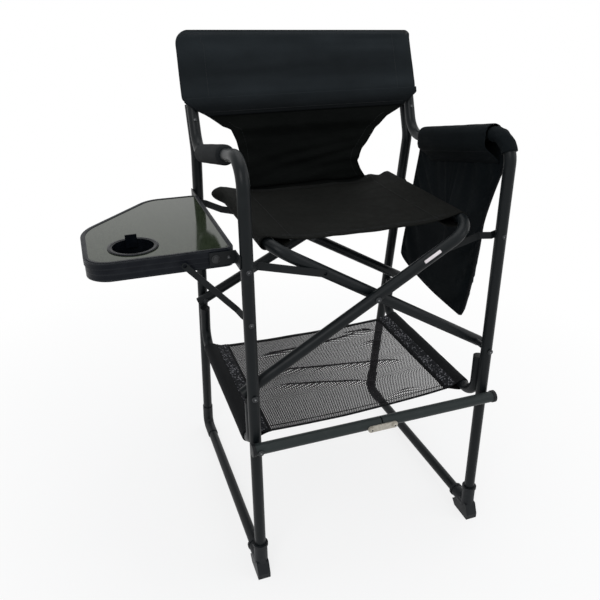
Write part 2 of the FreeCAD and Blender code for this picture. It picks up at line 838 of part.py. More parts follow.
def footrest_cap(side, sign):
    """Plastic cap over the outer end of a footrest bar."""
    body = new_body(f"footrest_{side}_cap")
    end = "(side_spacing + footrest_overhang)"
    cup = new_sketch(body, "YZ_Plane", f"{sign} * ({end} - footrest_cap_length)")
    draw_circle(cup, ("0", "0"), "tube_radius + footrest_cap_wall")
    pad(body, cup, "footrest_cap_length + footrest_cap_wall", flip=sign < 0)
    inside = new_sketch(body, "YZ_Plane", f"{sign} * ({end} - footrest_cap_length)")
    draw_circle(inside, ("0", "0"), "tube_radius + touch_gap / 2")
    pocket(body, inside, "footrest_cap_length + touch_gap", flip=sign > 0)
    return place(body, "0", "footrest_y", "footrest_height")


def hinge_plate():
    """Flat plate with round ends that joins the two bars at the middle."""
    body = new_body("footrest_hinge_plate")
    sketch = new_sketch(body, "XZ_Plane")
    half = "plate_width / 2"
    end = f"(plate_spacing / 2 + {half})"
    points = [
        (f"-{end}", f"-{half}"),
        (end, f"-{half}"),
        (end, half),
        (f"-{end}", half),
    ]
    draw_outline(sketch, points, [f"{half} - touch_gap"] * 4)
    pad(body, sketch, "plate_thickness")
    drill(body, "XZ_Plane", [("-plate_spacing / 2", "0"), ("plate_spacing / 2", "0")])
    return place(body, "0", "plate_face_y", "footrest_height - plate_drop")


def plate_pins():
    """Rivets of the hinge plate: the left one turns in the left bar, the right one in the right."""
    pins = []
    for side, sign in SIDES:
        length = "(plate_thickness + 2 * touch_gap + run_gap + tube_wall + 1)"
        pin = turned_pin(f"{side}_plate_pin", length, tail=False)
        pins.append(place(pin, f"{sign} * plate_spacing / 2",
                          "plate_face_y - plate_thickness - touch_gap",
                          "footrest_height - plate_drop", angle="-90 deg"))
    return group("footrest_plate_pins", pins)


def footrest_pin():
    """Rivet that hangs the footrest on the left leg."""
    length = "(footrest_standoff + head_standoff + run_gap)"
    pin = turned_pin("footrest_leg_pin", length, tail=False)
    place(pin, "-side_spacing", "footrest_y - tube_radius - head_standoff", "footrest_height",
          angle="-90 deg")
    return pin


for side, sign in SIDES:
    keep(footrest_bar(side, sign), footrest_cap(side, sign))
keep(hinge_plate(), plate_pins(), footrest_pin())


# ---------------------------------------------------------------- side table

def table_outline(inset):
    """Plan of the table, its rear outer corner cut off, drawn some way inside the edge."""
    outer = f"(-table_reach + ({inset}))"
    root = "sqrt(1 + table_chamfer_slope * table_chamfer_slope)"
    side_y = f"(table_chamfer_y + ({inset}) * (table_chamfer_slope - {root}))"
    rear_x = (f"(-table_reach + (table_rear_y - table_chamfer_y - ({inset}) + ({inset}) * {root})"
              " / table_chamfer_slope)")
    points = [
        (f"-table_inner - ({inset})", f"table_front_y + ({inset})"),
        (f"-table_inner - ({inset})", f"table_rear_y - ({inset})"),
        (rear_x, f"table_rear_y - ({inset})"),
        (outer, side_y),
        (outer, f"table_front_y + ({inset})"),
    ]
    corners = ["table_inner_corner", "table_inner_corner", "table_rear_corner",
               "table_side_corner", "table_front_corner"]
    return points, [f"{corner} - ({inset})" for corner in corners]


def table_rim():
    """Moulded rim: a deep apron with a lip along its upper edge."""
    body = new_body("table_rim")
    for inset, start, height in (
        ("0", "table_floor", "table_depth"),
        ("-table_lip", "table_top_height - table_lip_height", "table_lip_height"),
    ):
        edge = new_sketch(body, "XY_Plane", start)
        draw_outline(edge, *table_outline(inset))
        pad(body, edge, height)
    inside = new_sketch(body, "XY_Plane", "table_floor")
    draw_outline(inside, *table_outline("table_wall"))
    pocket(body, inside)
    drill(body, "XZ_Plane", [("-bolt_x", "bolt_z")])
    return place(body, "0", "0", "0")


def table_top():
    """Board let into the rim, with a round hole and a rebate for the cup holder."""
    body = new_body("table_top")
    board = new_sketch(body, "XY_Plane", "board_z")
    draw_outline(board, *table_outline("table_wall + touch_gap"))
    pad(body, board, "table_board")
    hole = "cup_radius + cup_wall + touch_gap"
    spot = [("-cup_x", "cup_y")]
    drill(body, "XY_Plane", spot, radius=hole)
    drill(body, "XY_Plane", spot, f"{hole} + cup_flange", "cup_rebate + 1", "table_top_height - cup_rebate",
          flip=True)
    return place(body, "0", "0", "0")


def cup_holder():
    """Shallow cup hung in the board's rebate by its flange."""
    body = new_body("cup_holder")
    wall = "cup_radius + cup_wall"
    revolve(body, [
        ("0", "-cup_depth"),
        (wall, "-cup_depth"),
        (wall, "touch_gap"),
        (f"{wall} + cup_flange", "touch_gap"),
        (f"{wall} + cup_flange", "touch_gap + cup_wall"),
        ("cup_radius", "touch_gap + cup_wall"),
        ("cup_radius", "-cup_depth + cup_wall"),
        ("0", "-cup_depth + cup_wall"),
    ])
    return place(body, "-cup_x", "cup_y", "table_top_height - cup_rebate")


def cup_tab():
    """Upright tab inside the rear of the cup holder, which steadies a bottle or a glass."""
    tab = doc.addObject("Part::Box", "cup_tab")
    bind(tab, "Length", "cup_tab_width")
    bind(tab, "Width", "cup_wall")
    bind(tab, "Height", "cup_depth / 2 + cup_tab_rise")
    reach = "sqrt(cup_radius * cup_radius - cup_tab_width * cup_tab_width / 4)"
    return place(tab, "-cup_x - cup_tab_width / 2", f"cup_y + {reach} - cup_wall - touch_gap",
                 "table_top_height - cup_depth / 2")


def bracket(end):
    """Angle plate that carries the table's bolt beside a leg."""
    body = new_body(f"table_{end}_bracket")
    inner = "(side_spacing + tube_radius + touch_gap)"
    if end == "front":
        face = "(table_front_y - table_lip - run_gap)"
        out = -1
        leg = front_leg_y("bolt_z")
    else:
        face = "(table_rear_y + table_lip + run_gap)"
        out = 1
        leg = rear_leg_y("bolt_z")
    far = f"(bolt_x + bracket_reach)"
    past = f"({leg} + {out} * tube_radius / 2)"
    plan = new_sketch(body, "XY_Plane", "bolt_z - bracket_height / 2")
    draw_outline(plan, [
        (f"-{inner}", past),
        (f"-{inner}", face),
        (f"-{far}", face),
        (f"-{far}", f"{face} + {out} * bracket_thickness"),
        (f"-{inner} - bracket_thickness", f"{face} + {out} * bracket_thickness"),
        (f"-{inner} - bracket_thickness", past),
    ])
    pad(body, plan, "bracket_height")
    drill(body, "XZ_Plane", [("-bolt_x", "bolt_z")])
    return place(body, "0", "0", "0")


def table_bolts():
    """Two bolts that the table turns on, each with a hexagon head outside its bracket."""
    bolts = []
    outside = "(table_lip + run_gap + bracket_thickness + touch_gap)"
    shank = f"({outside} + table_wall + touch_gap + 2)"
    for end, y, turn in (
        ("front", f"table_front_y - {outside}", "-90 deg"),
        ("rear", f"table_rear_y + {outside}", "90 deg"),
    ):
        body = new_body(f"{end}_table_bolt")
        head = new_sketch(body, "XY_Plane")
        corners = [(f"bolt_head * {math.cos(math.pi * k / 3):.6f}",
                    f"bolt_head * {math.sin(math.pi * k / 3):.6f}") for k in range(6)]
        draw_outline(head, corners)
        pad(body, head, "head_height * 2", flip=True)
        stem = new_sketch(body, "XY_Plane")
        draw_circle(stem, ("0", "0"), "pin_radius")
        pad(body, stem, shank)
        bolts.append(place(body, "-bolt_x", y, "bolt_z", angle=turn))
    return group("table_bolts", bolts)


STRUT_RUN = "(table_inner + strut_top_inset - side_spacing)"
STRUT_RISE = "(table_top_height - strut_top_drop - strut_height)"
STRUT_LENGTH = f"sqrt({STRUT_RUN} * {STRUT_RUN} + {STRUT_RISE} * {STRUT_RISE})"
STRUT_TURN = f"180 deg + atan({STRUT_RISE} / {STRUT_RUN})"


def strut(end):
    """Strap from a leg up to the table's apron."""
    body = new_body(f"table_{end}_strut")
    past_bolt = "(table_lip + bracket_thickness + touch_gap + 2 * head_height + 2 * run_gap)"
    if end == "front":
        near = f"({front_leg_y('strut_height')} + tube_radius + link_gap)"
        far = f"(table_front_y - {past_bolt} - link_thickness)"
    else:
        near = f"({rear_leg_y('strut_height')} - tube_radius - link_rear_gap - link_thickness)"
        far = f"(table_rear_y + {past_bolt})"
    joggled_strap(body, STRUT_LENGTH, f"({far} - {near})", "strut_width", "link_eye",
                  "strut_width / 2")
    return place(body, "-side_spacing", near, "strut_height", axis=(0, 1, 0), angle=STRUT_TURN)


keep(table_rim(), table_top(), cup_holder(), cup_tab(), bracket("front"), bracket("rear"))
keep(table_bolts(), strut("front"), strut("rear"))
keep(strap_pins("table_strut_pins", "-side_spacing", "strut_height"))


# ---------------------------------------------------------------- fabric

def sleeved_sheet(body, half_span, sheet_y, start, length, sleeve_start, sleeve_length, blind=None):
    """A sheet between two sleeves that slip over tubes, all along Z of the body.

    half_span is the distance of the sleeve axes from the middle.
    """
    web = new_sketch(body, "XY_Plane", start)
    inner = f"({half_span} - tube_radius - sleeve_gap)"
    points = [
        (f"-{half_span}", sheet_y),
        (half_span, sheet_y),
        (half_span, f"{sheet_y} + cloth"),
        (f"-{half_span}", f"{sheet_y} + cloth"),
    ]
    draw_outline(web, points)
    pad(body, web, length)
    hems = new_sketch(body, "XY_Plane", sleeve_start)
    for sign in (-1, 1):
        draw_circle(hems, (f"{sign} * {half_span}", "0"), "sleeve_radius")
    pad(body, hems, sleeve_length)
    bores = new_sketch(body, "XY_Plane", sleeve_start)
    for sign in (-1, 1):
        draw_circle(bores, (f"{sign} * {half_span}", "0"), "tube_radius + sleeve_gap")
    pocket(body, bores, blind or sleeve_length, flip=True)


def back_band():
    """Wide fabric band, closed at the top, that slips over both uprights."""
    body = new_body("back_band")
    rise = "(upright_top - band_bottom)"
    inside = f"({rise} * sqrt(1 + recline * recline) + plug_thickness + touch_gap)"
    length = f"({inside} + band_top_room)"
    sleeved_sheet(body, "side_spacing", "-sleeve_radius", "0", length, "0", length, inside)
    return place(body, "0", upright_y("band_bottom"), "band_bottom", angle="-atan(recline)")


def back_panel():
    """Panel from the band down to the rear of the seat, with a narrow waist."""
    body = new_body("back_panel")
    sketch = new_sketch(body, "XZ_Plane")
    height = "(panel_top - panel_bottom)"
    half = [
        ("panel_shoulder", height),
        ("panel_shoulder", f"{height} * 0.9"),
        ("panel_waist + 30", f"{height} * 0.62"),
        ("panel_waist", f"{height} * 0.32"),
        ("panel_flare", "0"),
    ]
    mirrored = [(f"-({u})", v) for u, v in reversed(half)]
    radii = [None, "30", "60", "60", None]
    draw_outline(sketch, half + mirrored, radii + list(reversed(radii)))
    pad(body, sketch, "cloth", flip=True)
    return place(body, "0", "panel_y", "panel_bottom", angle="-atan(panel_lean)")


def seat():
    """Seat cloth hung between the two seat rails."""
    body = new_body("seat_sling")
    span = "(scissor_reach * cos(scissor_angle * 1 deg) - side_spacing)"
    rail = "(scissor_height + scissor_reach * sin(scissor_angle * 1 deg))"
    top = f"({rail} + tube_radius + sleeve_gap)"
    sketch = new_sketch(body, "XZ_Plane", "-seat_front_y")
    edge = f"({span} + sleeve_radius)"
    low = f"({top} - seat_sag)"
    points = [
        (f"-{edge}", f"{rail} - tube_radius"),
        (f"-{edge}", f"{top} + cloth"),
        (f"-{span} / 2", f"{low} + cloth"),
        (f"{span} / 2", f"{low} + cloth"),
        (edge, f"{top} + cloth"),
        (edge, f"{rail} - tube_radius"),
        (f"{edge} - sleeve_radius + tube_radius + sleeve_gap", f"{rail} - tube_radius"),
        (f"{edge} - sleeve_radius + tube_radius + sleeve_gap", top),
        (f"{span} - tube_radius", top),
        (f"{span} / 2", low),
        (f"-{span} / 2", low),
        (f"-{span} + tube_radius", top),
        (f"-{edge} + sleeve_radius - tube_radius - sleeve_gap", top),
        (f"-{edge} + sleeve_radius - tube_radius - sleeve_gap", f"{rail} - tube_radius"),
    ]
    draw_outline(sketch, points)
    pad(body, sketch, "seat_rear_y - seat_front_y", flip=True)
    return place(body, "0", "0", "0")


def mesh_tray():
    """Mesh of the storage tray, with a sleeve along each rail."""
    body = new_body("mesh_tray")
    length = "(mesh_rear_y - mesh_front_y)"
    sleeved_sheet(body, "side_spacing", "mesh_drop - cloth", "0", length, "0", length)
    return place(body, "0", "mesh_front_y", "tray_height", angle="-90 deg")


def bag_straps():
    """Two loops of webbing round the right arm grip, which the bag hangs from."""
    loops = []
    for name, y in (("front", "strap_front_y"), ("rear", "strap_rear_y")):
        body = new_body(f"{name}_bag_strap")
        outer = "(grip_radius + touch_gap + strap_thickness)"
        straight_tube(body, "XY_Plane", "strap_width", outer=outer, wall="strap_thickness")
        loops.append(place(body, "side_spacing", y, arm_height(y), angle="-90 deg - atan(arm_drop)"))
    return group("bag_straps", loops)


def bag_outline(low):
    """Side view of the bag, from its top edge down to a lower edge."""
    top_front = "bag_top_height + (bag_rear_y - bag_front_y) / 2 * arm_drop"
    top_rear = "bag_top_height - (bag_rear_y - bag_front_y) / 2 * arm_drop"
    return [
        ("bag_front_y + bag_corner", f"{top_front}"),
        ("bag_front_y", f"{top_front} - 2 * bag_corner"),
        (f"bag_front_y + 0.17 * ({top_front} - ({low}))", low),
        ("bag_rear_y - 5", low),
        ("bag_rear_y", f"({low}) + 2 * bag_corner"),
        ("bag_rear_y - bag_corner", f"{top_rear}"),
    ]


def bag_pouch():
    """Soft pouch that hangs outside the right arm."""
    body = new_body("storage_bag")
    side = new_sketch(body, "YZ_Plane", "bag_inner")
    radii = ["bag_corner / 3", "bag_corner", "bag_corner / 3", "bag_corner / 3", "bag_corner", None]
    draw_outline(side, bag_outline("bag_bottom_height"), radii)
    pad(body, side, "bag_depth")
    return place(body, "0", "0", "0")


def bag_flap():
    """Flap over the outside of the pouch."""
    body = new_body("bag_flap")
    side = new_sketch(body, "YZ_Plane", "bag_inner + bag_depth")
    points = [
        ("bag_front_y + bag_corner", "bag_top_height - bag_corner"),
        ("bag_front_y + bag_corner", "bag_top_height - flap_drop"),
        ("bag_rear_y - 2 * bag_corner", "bag_top_height - flap_drop"),
        ("bag_rear_y - 2 * bag_corner", "bag_top_height - 2 * bag_corner"),
    ]
    draw_outline(side, points, [None, "bag_corner / 3", "bag_corner / 3", None])
    pad(body, side, "flap_thickness")
    return place(body, "0", "0", "0")


keep(back_band(), back_panel(), seat(), mesh_tray())
keep(bag_straps(), bag_pouch(), bag_flap())


# ---------------------------------------------------------------- build and write

doc.recompute()
faults = [item.Label for item in doc.Objects
          if {"Invalid", "Error"} & set(item.State)]
for item in SUBPARTS:
    if item.Shape.isNull() or not item.Shape.isValid() or not item.Shape.Solids:
        faults.append(item.Label)
if faults:
    raise RuntimeError("these did not build: " + ", ".join(sorted(set(faults))))

os.makedirs("parts", exist_ok=True)
for item in SUBPARTS:
    item.Shape.exportStep(f"parts/{item.Label}.step")
print(len(SUBPARTS), "sub-parts written")
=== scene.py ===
"""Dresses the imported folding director's chair: finishes, cloth, foam and small fittings.

Metres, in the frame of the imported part. Places are measured from the middle plane of the chair
(x = 0) and from a line on the floor under the seat (y = 0), and at() moves them into the frame.
"""
from math import atan, cos, exp, pi, radians, sin, sqrt, tan

import bmesh
import bpy
from mathutils import Euler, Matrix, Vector, noise
from mathutils.geometry import convex_hull_2d


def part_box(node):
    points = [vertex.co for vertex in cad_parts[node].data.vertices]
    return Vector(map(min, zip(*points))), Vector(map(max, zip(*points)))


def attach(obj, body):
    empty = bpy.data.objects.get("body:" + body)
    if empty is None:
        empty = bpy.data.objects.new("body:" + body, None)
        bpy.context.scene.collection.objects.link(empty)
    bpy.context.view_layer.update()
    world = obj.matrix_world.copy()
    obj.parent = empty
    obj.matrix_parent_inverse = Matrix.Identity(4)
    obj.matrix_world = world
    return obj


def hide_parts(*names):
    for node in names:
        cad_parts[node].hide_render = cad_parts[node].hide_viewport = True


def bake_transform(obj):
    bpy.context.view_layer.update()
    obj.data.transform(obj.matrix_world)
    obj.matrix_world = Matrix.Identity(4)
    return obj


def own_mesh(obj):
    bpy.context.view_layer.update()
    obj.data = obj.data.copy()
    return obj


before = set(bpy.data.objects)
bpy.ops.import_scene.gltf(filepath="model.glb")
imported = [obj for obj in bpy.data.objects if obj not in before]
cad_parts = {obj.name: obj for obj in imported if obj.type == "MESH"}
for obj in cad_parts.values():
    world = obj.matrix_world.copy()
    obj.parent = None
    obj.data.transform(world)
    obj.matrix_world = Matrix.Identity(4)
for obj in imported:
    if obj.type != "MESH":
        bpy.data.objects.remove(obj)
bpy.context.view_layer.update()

# ---- places

TUBE_RADIUS = 0.0125
SIDE = 0.276  # from the middle plane to the middle of a side frame
TABLE_EDGE_Y = -0.2045
CHAIR_X = (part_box("left_side_tube")[0].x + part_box("right_side_tube")[1].x) / 2
CHAIR_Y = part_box("table_rim")[0].y - TABLE_EDGE_Y

# The legs, arms and uprights are straight lines seen from the side: a place and a slope for each.
FRONT_FOOT_Y = -0.2604
FRONT_LEAN = 0.032
REAR_FOOT_Y = 0.3226
REAR_CORNER_Z = 0.0136
REAR_LEAN = 0.145
ARM_REAR = Vector((0, 0.171, 0.8813))
ARM_DROP = 0.209
ARM_SLOPE = atan(ARM_DROP)
ARM_UP = Vector((0, sin(ARM_SLOPE), cos(ARM_SLOPE)))
RECLINE = 0.376
RECLINE_SLOPE = atan(RECLINE)

# The seat's rails, the tray's rails, and the heights of the pins.
RAIL_X = 0.2187
RAIL_Z = 0.7769
TRAY_Z = 0.343
SCISSOR_Z = 0.482
SCISSOR_SLOPE = radians(30.8)
LINK_Z = 0.755
STRUT_Z = 0.646
KNEE_RIVET_Z = 0.949

RIGHT = Vector((1, 0, 0))
REAR = Vector((0, 1, 0))
UP = Vector((0, 0, 1))


def at(x, y, z):
    return Vector((CHAIR_X + x, CHAIR_Y + y, z))


def front_leg_y(z):
    return FRONT_FOOT_Y + FRONT_LEAN * z


def rear_leg_y(z):
    return REAR_FOOT_Y - REAR_LEAN * (z - REAR_CORNER_Z)


def upright_y(z):
    return ARM_REAR.y + RECLINE * (z - ARM_REAR.z)


def arm_z(y):
    return ARM_REAR.z - ARM_DROP * (y - ARM_REAR.y)


def clamp(amount, low=0.0, high=1.0):
    return min(max(amount, low), high)


def ease(low, high, amount):
    """0 below low, 1 above high, smooth between."""
    share = clamp((amount - low) / (high - low))
    return share * share * (3 - 2 * share)


def mix(first, second, share):
    return first + (second - first) * share


def spread(first, last, steps):
    """Evenly spaced values from first to last."""
    return [mix(first, last, k / steps) for k in range(steps + 1)]


def surface(downs, acrosses, spot):
    """Rows of points: spot(down, across) for every pair of values."""
    return [[spot(down, across) for across in acrosses] for down in downs]


def circle(steps):
    """Evenly spaced angles round a full turn."""
    return [2 * pi * k / steps for k in range(steps)]


def swing(across, up, angle):
    """The direction at an angle in the plane of two directions."""
    return across * cos(angle) + up * sin(angle)


def hump(amount, place, width):
    """1 at the place and near 0 beyond twice the width."""
    return exp(-((amount - place) / width) ** 2)


def along(stops, amount):
    """A value read off a list of (place, value) stops."""
    for (low, first), (high, second) in zip(stops, stops[1:]):
        if amount <= high:
            return mix(first, second, clamp((amount - low) / (high - low)))
    return stops[-1][1]


def ripple(point, size, seed=0.0):
    """Smooth noise from -1 to 1 whose lumps are about size metres across."""
    return noise.noise(Vector(point) / size + Vector((seed, seed * 1.7, -seed)))


# ---- finishes

class Socket:
    """An output of a node, with arithmetic that adds Math nodes."""

    def __init__(self, nodes, socket):
        self.nodes = nodes
        self.socket = socket

    def math(self, operation, first, second=0.0):
        return self.nodes.node("ShaderNodeMath", {"operation": operation}, {0: first, 1: second})

    def __add__(self, other):
        return self.math("ADD", self, other)

    def __sub__(self, other):
        return self.math("SUBTRACT", self, other)

    def __rsub__(self, other):
        return self.math("SUBTRACT", other, self)

    def __mul__(self, other):
        return self.math("MULTIPLY", self, other)


class Nodes:
    """A node tree that is filled through one method."""

    def __init__(self, tree):
        self.tree = tree
        tree.nodes.clear()

    def put(self, socket, value):
        """Link or write one input."""
        if isinstance(value, Socket):
            self.tree.links.new(value.socket, socket)
        elif socket.type == "RGBA" and len(value) == 3:
            socket.default_value = (*value, 1.0)
        else:
            socket.default_value = value

    def node(self, kind, settings=None, sockets=None, output=0):
        """Add a node: its settings first, then the values or links of its sockets.

        Gives back one output, by number or name, or the list of all where output is None.
        """
        made = self.tree.nodes.new(kind)
        for name, setting in (settings or {}).items():
            setattr(made, name, setting)
        for name, value in (sockets or {}).items():
            self.put(made.inputs[name], value)
        if output is None:
            return [Socket(self, each) for each in made.outputs]
        return Socket(self, made.outputs[output])

    def split(self, vector):
        """The parts of a vector."""
        return self.node("ShaderNodeSeparateXYZ", None, {0: vector}, output=None)

    def plainly_seen(self):
        """1 for rays from the camera, also after a mirror or through glass, and 0 for others."""
        camera, glossy, clear = (self.node("ShaderNodeLightPath", output=name) for name in (
            "Is Camera Ray", "Is Glossy Ray", "Is Transmission Ray"))
        return camera.math("MAXIMUM", camera.math("MAXIMUM", camera, glossy), clear)


class Finish(Nodes):
    """A material built from nodes around one Principled shader."""

    def __init__(self, name, roughness=0.5, metallic=0.0, specular=0.5):
        self.material = bpy.data.materials.new(name)
        self.material.use_nodes = True
        super().__init__(self.material.node_tree)
        self.output = self.tree.nodes.new("ShaderNodeOutputMaterial")
        self.shader = self.tree.nodes.new("ShaderNodeBsdfPrincipled")
        self.shader.inputs["Roughness"].default_value = roughness
        self.shader.inputs["Metallic"].default_value = metallic
        self.shader.inputs["Specular IOR Level"].default_value = specular
        self.tree.links.new(self.shader.outputs[0], self.output.inputs["Surface"])

    def set(self, **inputs):
        """Feed the shader: base_color, roughness, alpha and normal."""
        for name, value in inputs.items():
            self.put(self.shader.inputs[name.replace("_", " ").title()], value)

    def place(self):
        """The point of the surface, in metres, as it is at rest."""
        return self.node("ShaderNodeTexCoord", output=3)

    def height(self):
        return self.split(self.place())[2]

    def cloth_place(self):
        """The point of the cloth, in metres along its width and length."""
        return self.node("ShaderNodeUVMap", {"uv_map": "cloth"})

    def noise(self, size, detail=3.0, stretch=None):
        """Noise from 0 to 1 whose lumps are about size metres across."""
        vector = self.place()
        if stretch:
            vector = self.node("ShaderNodeVectorMath", {"operation": "MULTIPLY"},
                               {0: vector, 1: stretch})
        return self.node("ShaderNodeTexNoise", None,
                         {"Vector": vector, "Scale": 1 / size, "Detail": detail})

    def cells(self, size):
        return self.node("ShaderNodeTexVoronoi", None,
                         {"Vector": self.place(), "Scale": 1 / size})

    def colour(self, factor, first, second):
        return self.node("ShaderNodeMix", {"data_type": "RGBA"}, {0: factor, 6: first, 7: second},
                         output=2)

    def range(self, value, low, high, new_low=0.0, new_high=1.0):
        return self.node("ShaderNodeMapRange", None, {
            "Value": value, "From Min": low, "From Max": high,
            "To Min": new_low, "To Max": new_high,
        })

    def uneven(self, noise, low, high):
        """A value that wanders between low and high with a noise."""
        return self.range(noise, 0.3, 0.7, low, high)

    def wave(self, value, pitch, phase=0.0):
        """A sine from 0 to 1 along a value in metres."""
        turned = self.node("ShaderNodeMath", {"operation": "SINE"},
                           {0: value * (2 * pi / pitch) + phase})
        return turned * 0.5 + 0.5

    def complete(self, tone, colours, height, distance, strength, **inputs):
        """Colour the surface by tone and raise it by height times distance metres."""
        normal = self.node("ShaderNodeBump", None, {
            "Height": height, "Distance": distance, "Strength": strength})
        self.set(base_color=self.colour(tone, *colours), normal=normal, **inputs)
        return self.material


def paint(name, *colours, roughness):
    """Powder coat on tube: fine orange peel, faint cloudiness, worn a little lighter in patches."""
    finish = Finish(name, specular=0.15)
    cloud = finish.noise(0.06, 4.0)
    worn = finish.range(finish.noise(0.022, 5.0), 0.56, 0.78)
    peel = finish.noise(0.0011, 2.0)
    return finish.complete(cloud * 0.5 + worn * 0.5, colours, peel, 0.00006, 0.5,
                           roughness=finish.uneven(cloud, roughness - 0.05, roughness + 0.07))


def moulded(name, *colours, roughness, grain=0.0009, depth=0.00006, specular=0.18):
    """Moulded plastic with a fine grain and slightly scuffed high spots."""
    finish = Finish(name, specular=specular)
    scuff = finish.range(finish.noise(0.015, 5.0), 0.5, 0.75)
    dull = finish.uneven(finish.noise(0.03), roughness - 0.06, roughness + 0.08)
    return finish.complete(scuff * 0.6, colours, finish.cells(grain), depth, 0.5, roughness=dull)


def gloss_board(name, *colours):
    """The table's board: smooth dark plastic that mirrors what stands round it."""
    finish = Finish(name, specular=0.30)
    lengthways = (1.0, 0.35, 1.0)
    fine = finish.uneven(finish.noise(0.0026, 3.0, lengthways), 0.0, 1.0)
    cloud = finish.noise(0.09, 3.0)
    smear = finish.noise(0.04, 4.0, lengthways)
    return finish.complete(fine * 0.75 + cloud * 0.25, colours, fine, 0.00001, 0.25,
                           roughness=finish.uneven(smear, 0.05, 0.10))


def bare_metal(name, *colours, roughness, metallic=0.9):
    """Plated steel with faint rolling lines and dull spots."""
    finish = Finish(name, metallic=metallic)
    lines = finish.noise(0.0012, 2.0, (0.15, 1.0, 1.0))
    spots = finish.range(finish.noise(0.006, 4.0), 0.45, 0.7)
    return finish.complete(spots * 0.7 + lines * 0.3, colours, lines, 0.00003, 0.4,
                           roughness=finish.uneven(lines, roughness - 0.06, roughness + 0.08))


def foam(name, *colours):
    """Closed-cell foam: a skin of small pores."""
    finish = Finish(name, roughness=0.86, specular=0.10)
    pores = finish.range(finish.cells(0.0011), 0.0, 0.55)
    return finish.complete(finish.noise(0.02, 3.0), colours, pores, 0.00025, 0.6)


def canvas(name, *colours, pitch=0.0011, hem_z=None):
    """Plain-woven polyester: over and under threads, slubs, and broad blotches of tone that are
    partly painted shade of soft wrinkles.

    Where hem_z is given, painted soft shadows of gathers lie above that height, a dark line along
    it, and a painted highlight along the rolled edge just below it.
    """
    finish = Finish(name, specular=0.07)
    across, length, _ = finish.split(finish.cloth_place())
    warp = finish.wave(across, pitch)
    weft = finish.wave(length, pitch)
    over = finish.wave(across + length, pitch * 2)
    weave = warp * over + weft * (1 - over)
    slub = finish.noise(0.0045, 3.0, (0.3, 0.3, 2.2))
    # broad blotches of tone, partly painted shade standing in for soft wrinkles
    fade = finish.range(finish.noise(0.08, 4.0), 0.32, 0.68)
    tone = weave * 0.35 + slub * 0.25 + fade * 0.4
    if hem_z:
        height = finish.height() + finish.noise(0.12, 2.0) * 0.016
        # painted soft shadows of gathers, in bands above the hem
        soft = finish.wave(height - hem_z, 0.094, -pi / 2)
        hem = finish.range(height, hem_z + 0.010, hem_z + 0.050, 0.04, 1.0)
        # painted highlight along the rolled lower edge, below the hem line
        roll = finish.range(height, hem_z, hem_z - 0.003, 0.0, 0.5)
        tone = (tone * 0.5 + 0.5) * ((soft * 0.42 + 0.58) * hem + roll)
    return finish.complete(tone, colours, weave + slub * 0.6, 0.00022, 0.7,
                           roughness=finish.uneven(slub, 0.78, 0.9))


def webbing(name, *colours):
    """Ribbed strap tape."""
    finish = Finish(name, specular=0.1, roughness=0.8)
    across, length, _ = finish.split(finish.cloth_place())
    ribs = finish.wave(length, 0.0024)
    cross = finish.wave(across, 0.0016)
    return finish.complete(ribs * 0.7 + cross * 0.3, colours, ribs + cross * 0.5, 0.0003, 0.8)


def glint_painted_knit(name, *colours):
    """Coarse black knit with painted glints between its loops."""
    finish = Finish(name, specular=0.15, roughness=0.75)
    across, length, _ = finish.split(finish.cloth_place())
    loops = finish.wave(across, 0.0042) * finish.wave(length, 0.0060)
    glint_cells = finish.node("ShaderNodeTexVoronoi", {"feature": "F1"}, {
        "Vector": finish.cloth_place(), "Scale": 1 / 0.0050, "Randomness": 0.9})
    # painted glints: bright spots in patches stand in for light caught by the crinkled knit
    bright = finish.range(glint_cells, 0.20, 0.42, 1.0, 0.0)
    patch = finish.range(finish.noise(0.016, 3.0), 0.33, 0.52)
    return finish.complete(bright * patch, colours, loops, 0.0005, 0.7)


def open_mesh(name, *colours):
    """See-through knitted mesh: dark threads round holes that open wider towards the bag side and
    the front, painted shade: the mesh is denser towards the rear and the left.
    """
    finish = Finish(name, specular=0.1, roughness=0.7)
    across, length, _ = finish.split(finish.cloth_place())
    pitch = 0.0046  # from hole to hole
    slant = finish.wave(across + length * 0.6, pitch) * finish.wave(across - length * 0.6, pitch)
    # painted shade: fewer see-through holes towards the rear and the left
    openness_shade = finish.range(across - length * 0.25, 0.02, 0.42, -0.04, 0.25)
    hole = finish.range(slant + openness_shade, 0.33, 0.85)
    return finish.complete(finish.noise(0.05, 3.0), colours, slant, 0.0004, 0.6, alpha=1 - hole)


def ribbed_rim(name, *colours):
    """Extruded edging: moulded plastic with fine lines running round it."""
    finish = Finish(name, specular=0.12)
    line = finish.range(finish.wave(finish.height(), 0.0105, 1.2), 0.80, 0.97)
    scuff = finish.range(finish.noise(0.02, 5.0), 0.45, 0.75)
    return finish.complete(scuff * 0.5 + line * 0.5, colours, line + scuff * 0.1, 0.0005, 0.8,
                           roughness=finish.uneven(finish.noise(0.03), 0.34, 0.46))


def stitch_thread(name):
    """Dark sewing thread, a little lighter than the cloth."""
    finish = Finish(name, specular=0.3, roughness=0.6)
    twist = finish.noise(0.0006, 2.0)
    finish.set(base_color=finish.colour(twist, (0.010, 0.011, 0.013), (0.022, 0.024, 0.026)))
    return finish.material


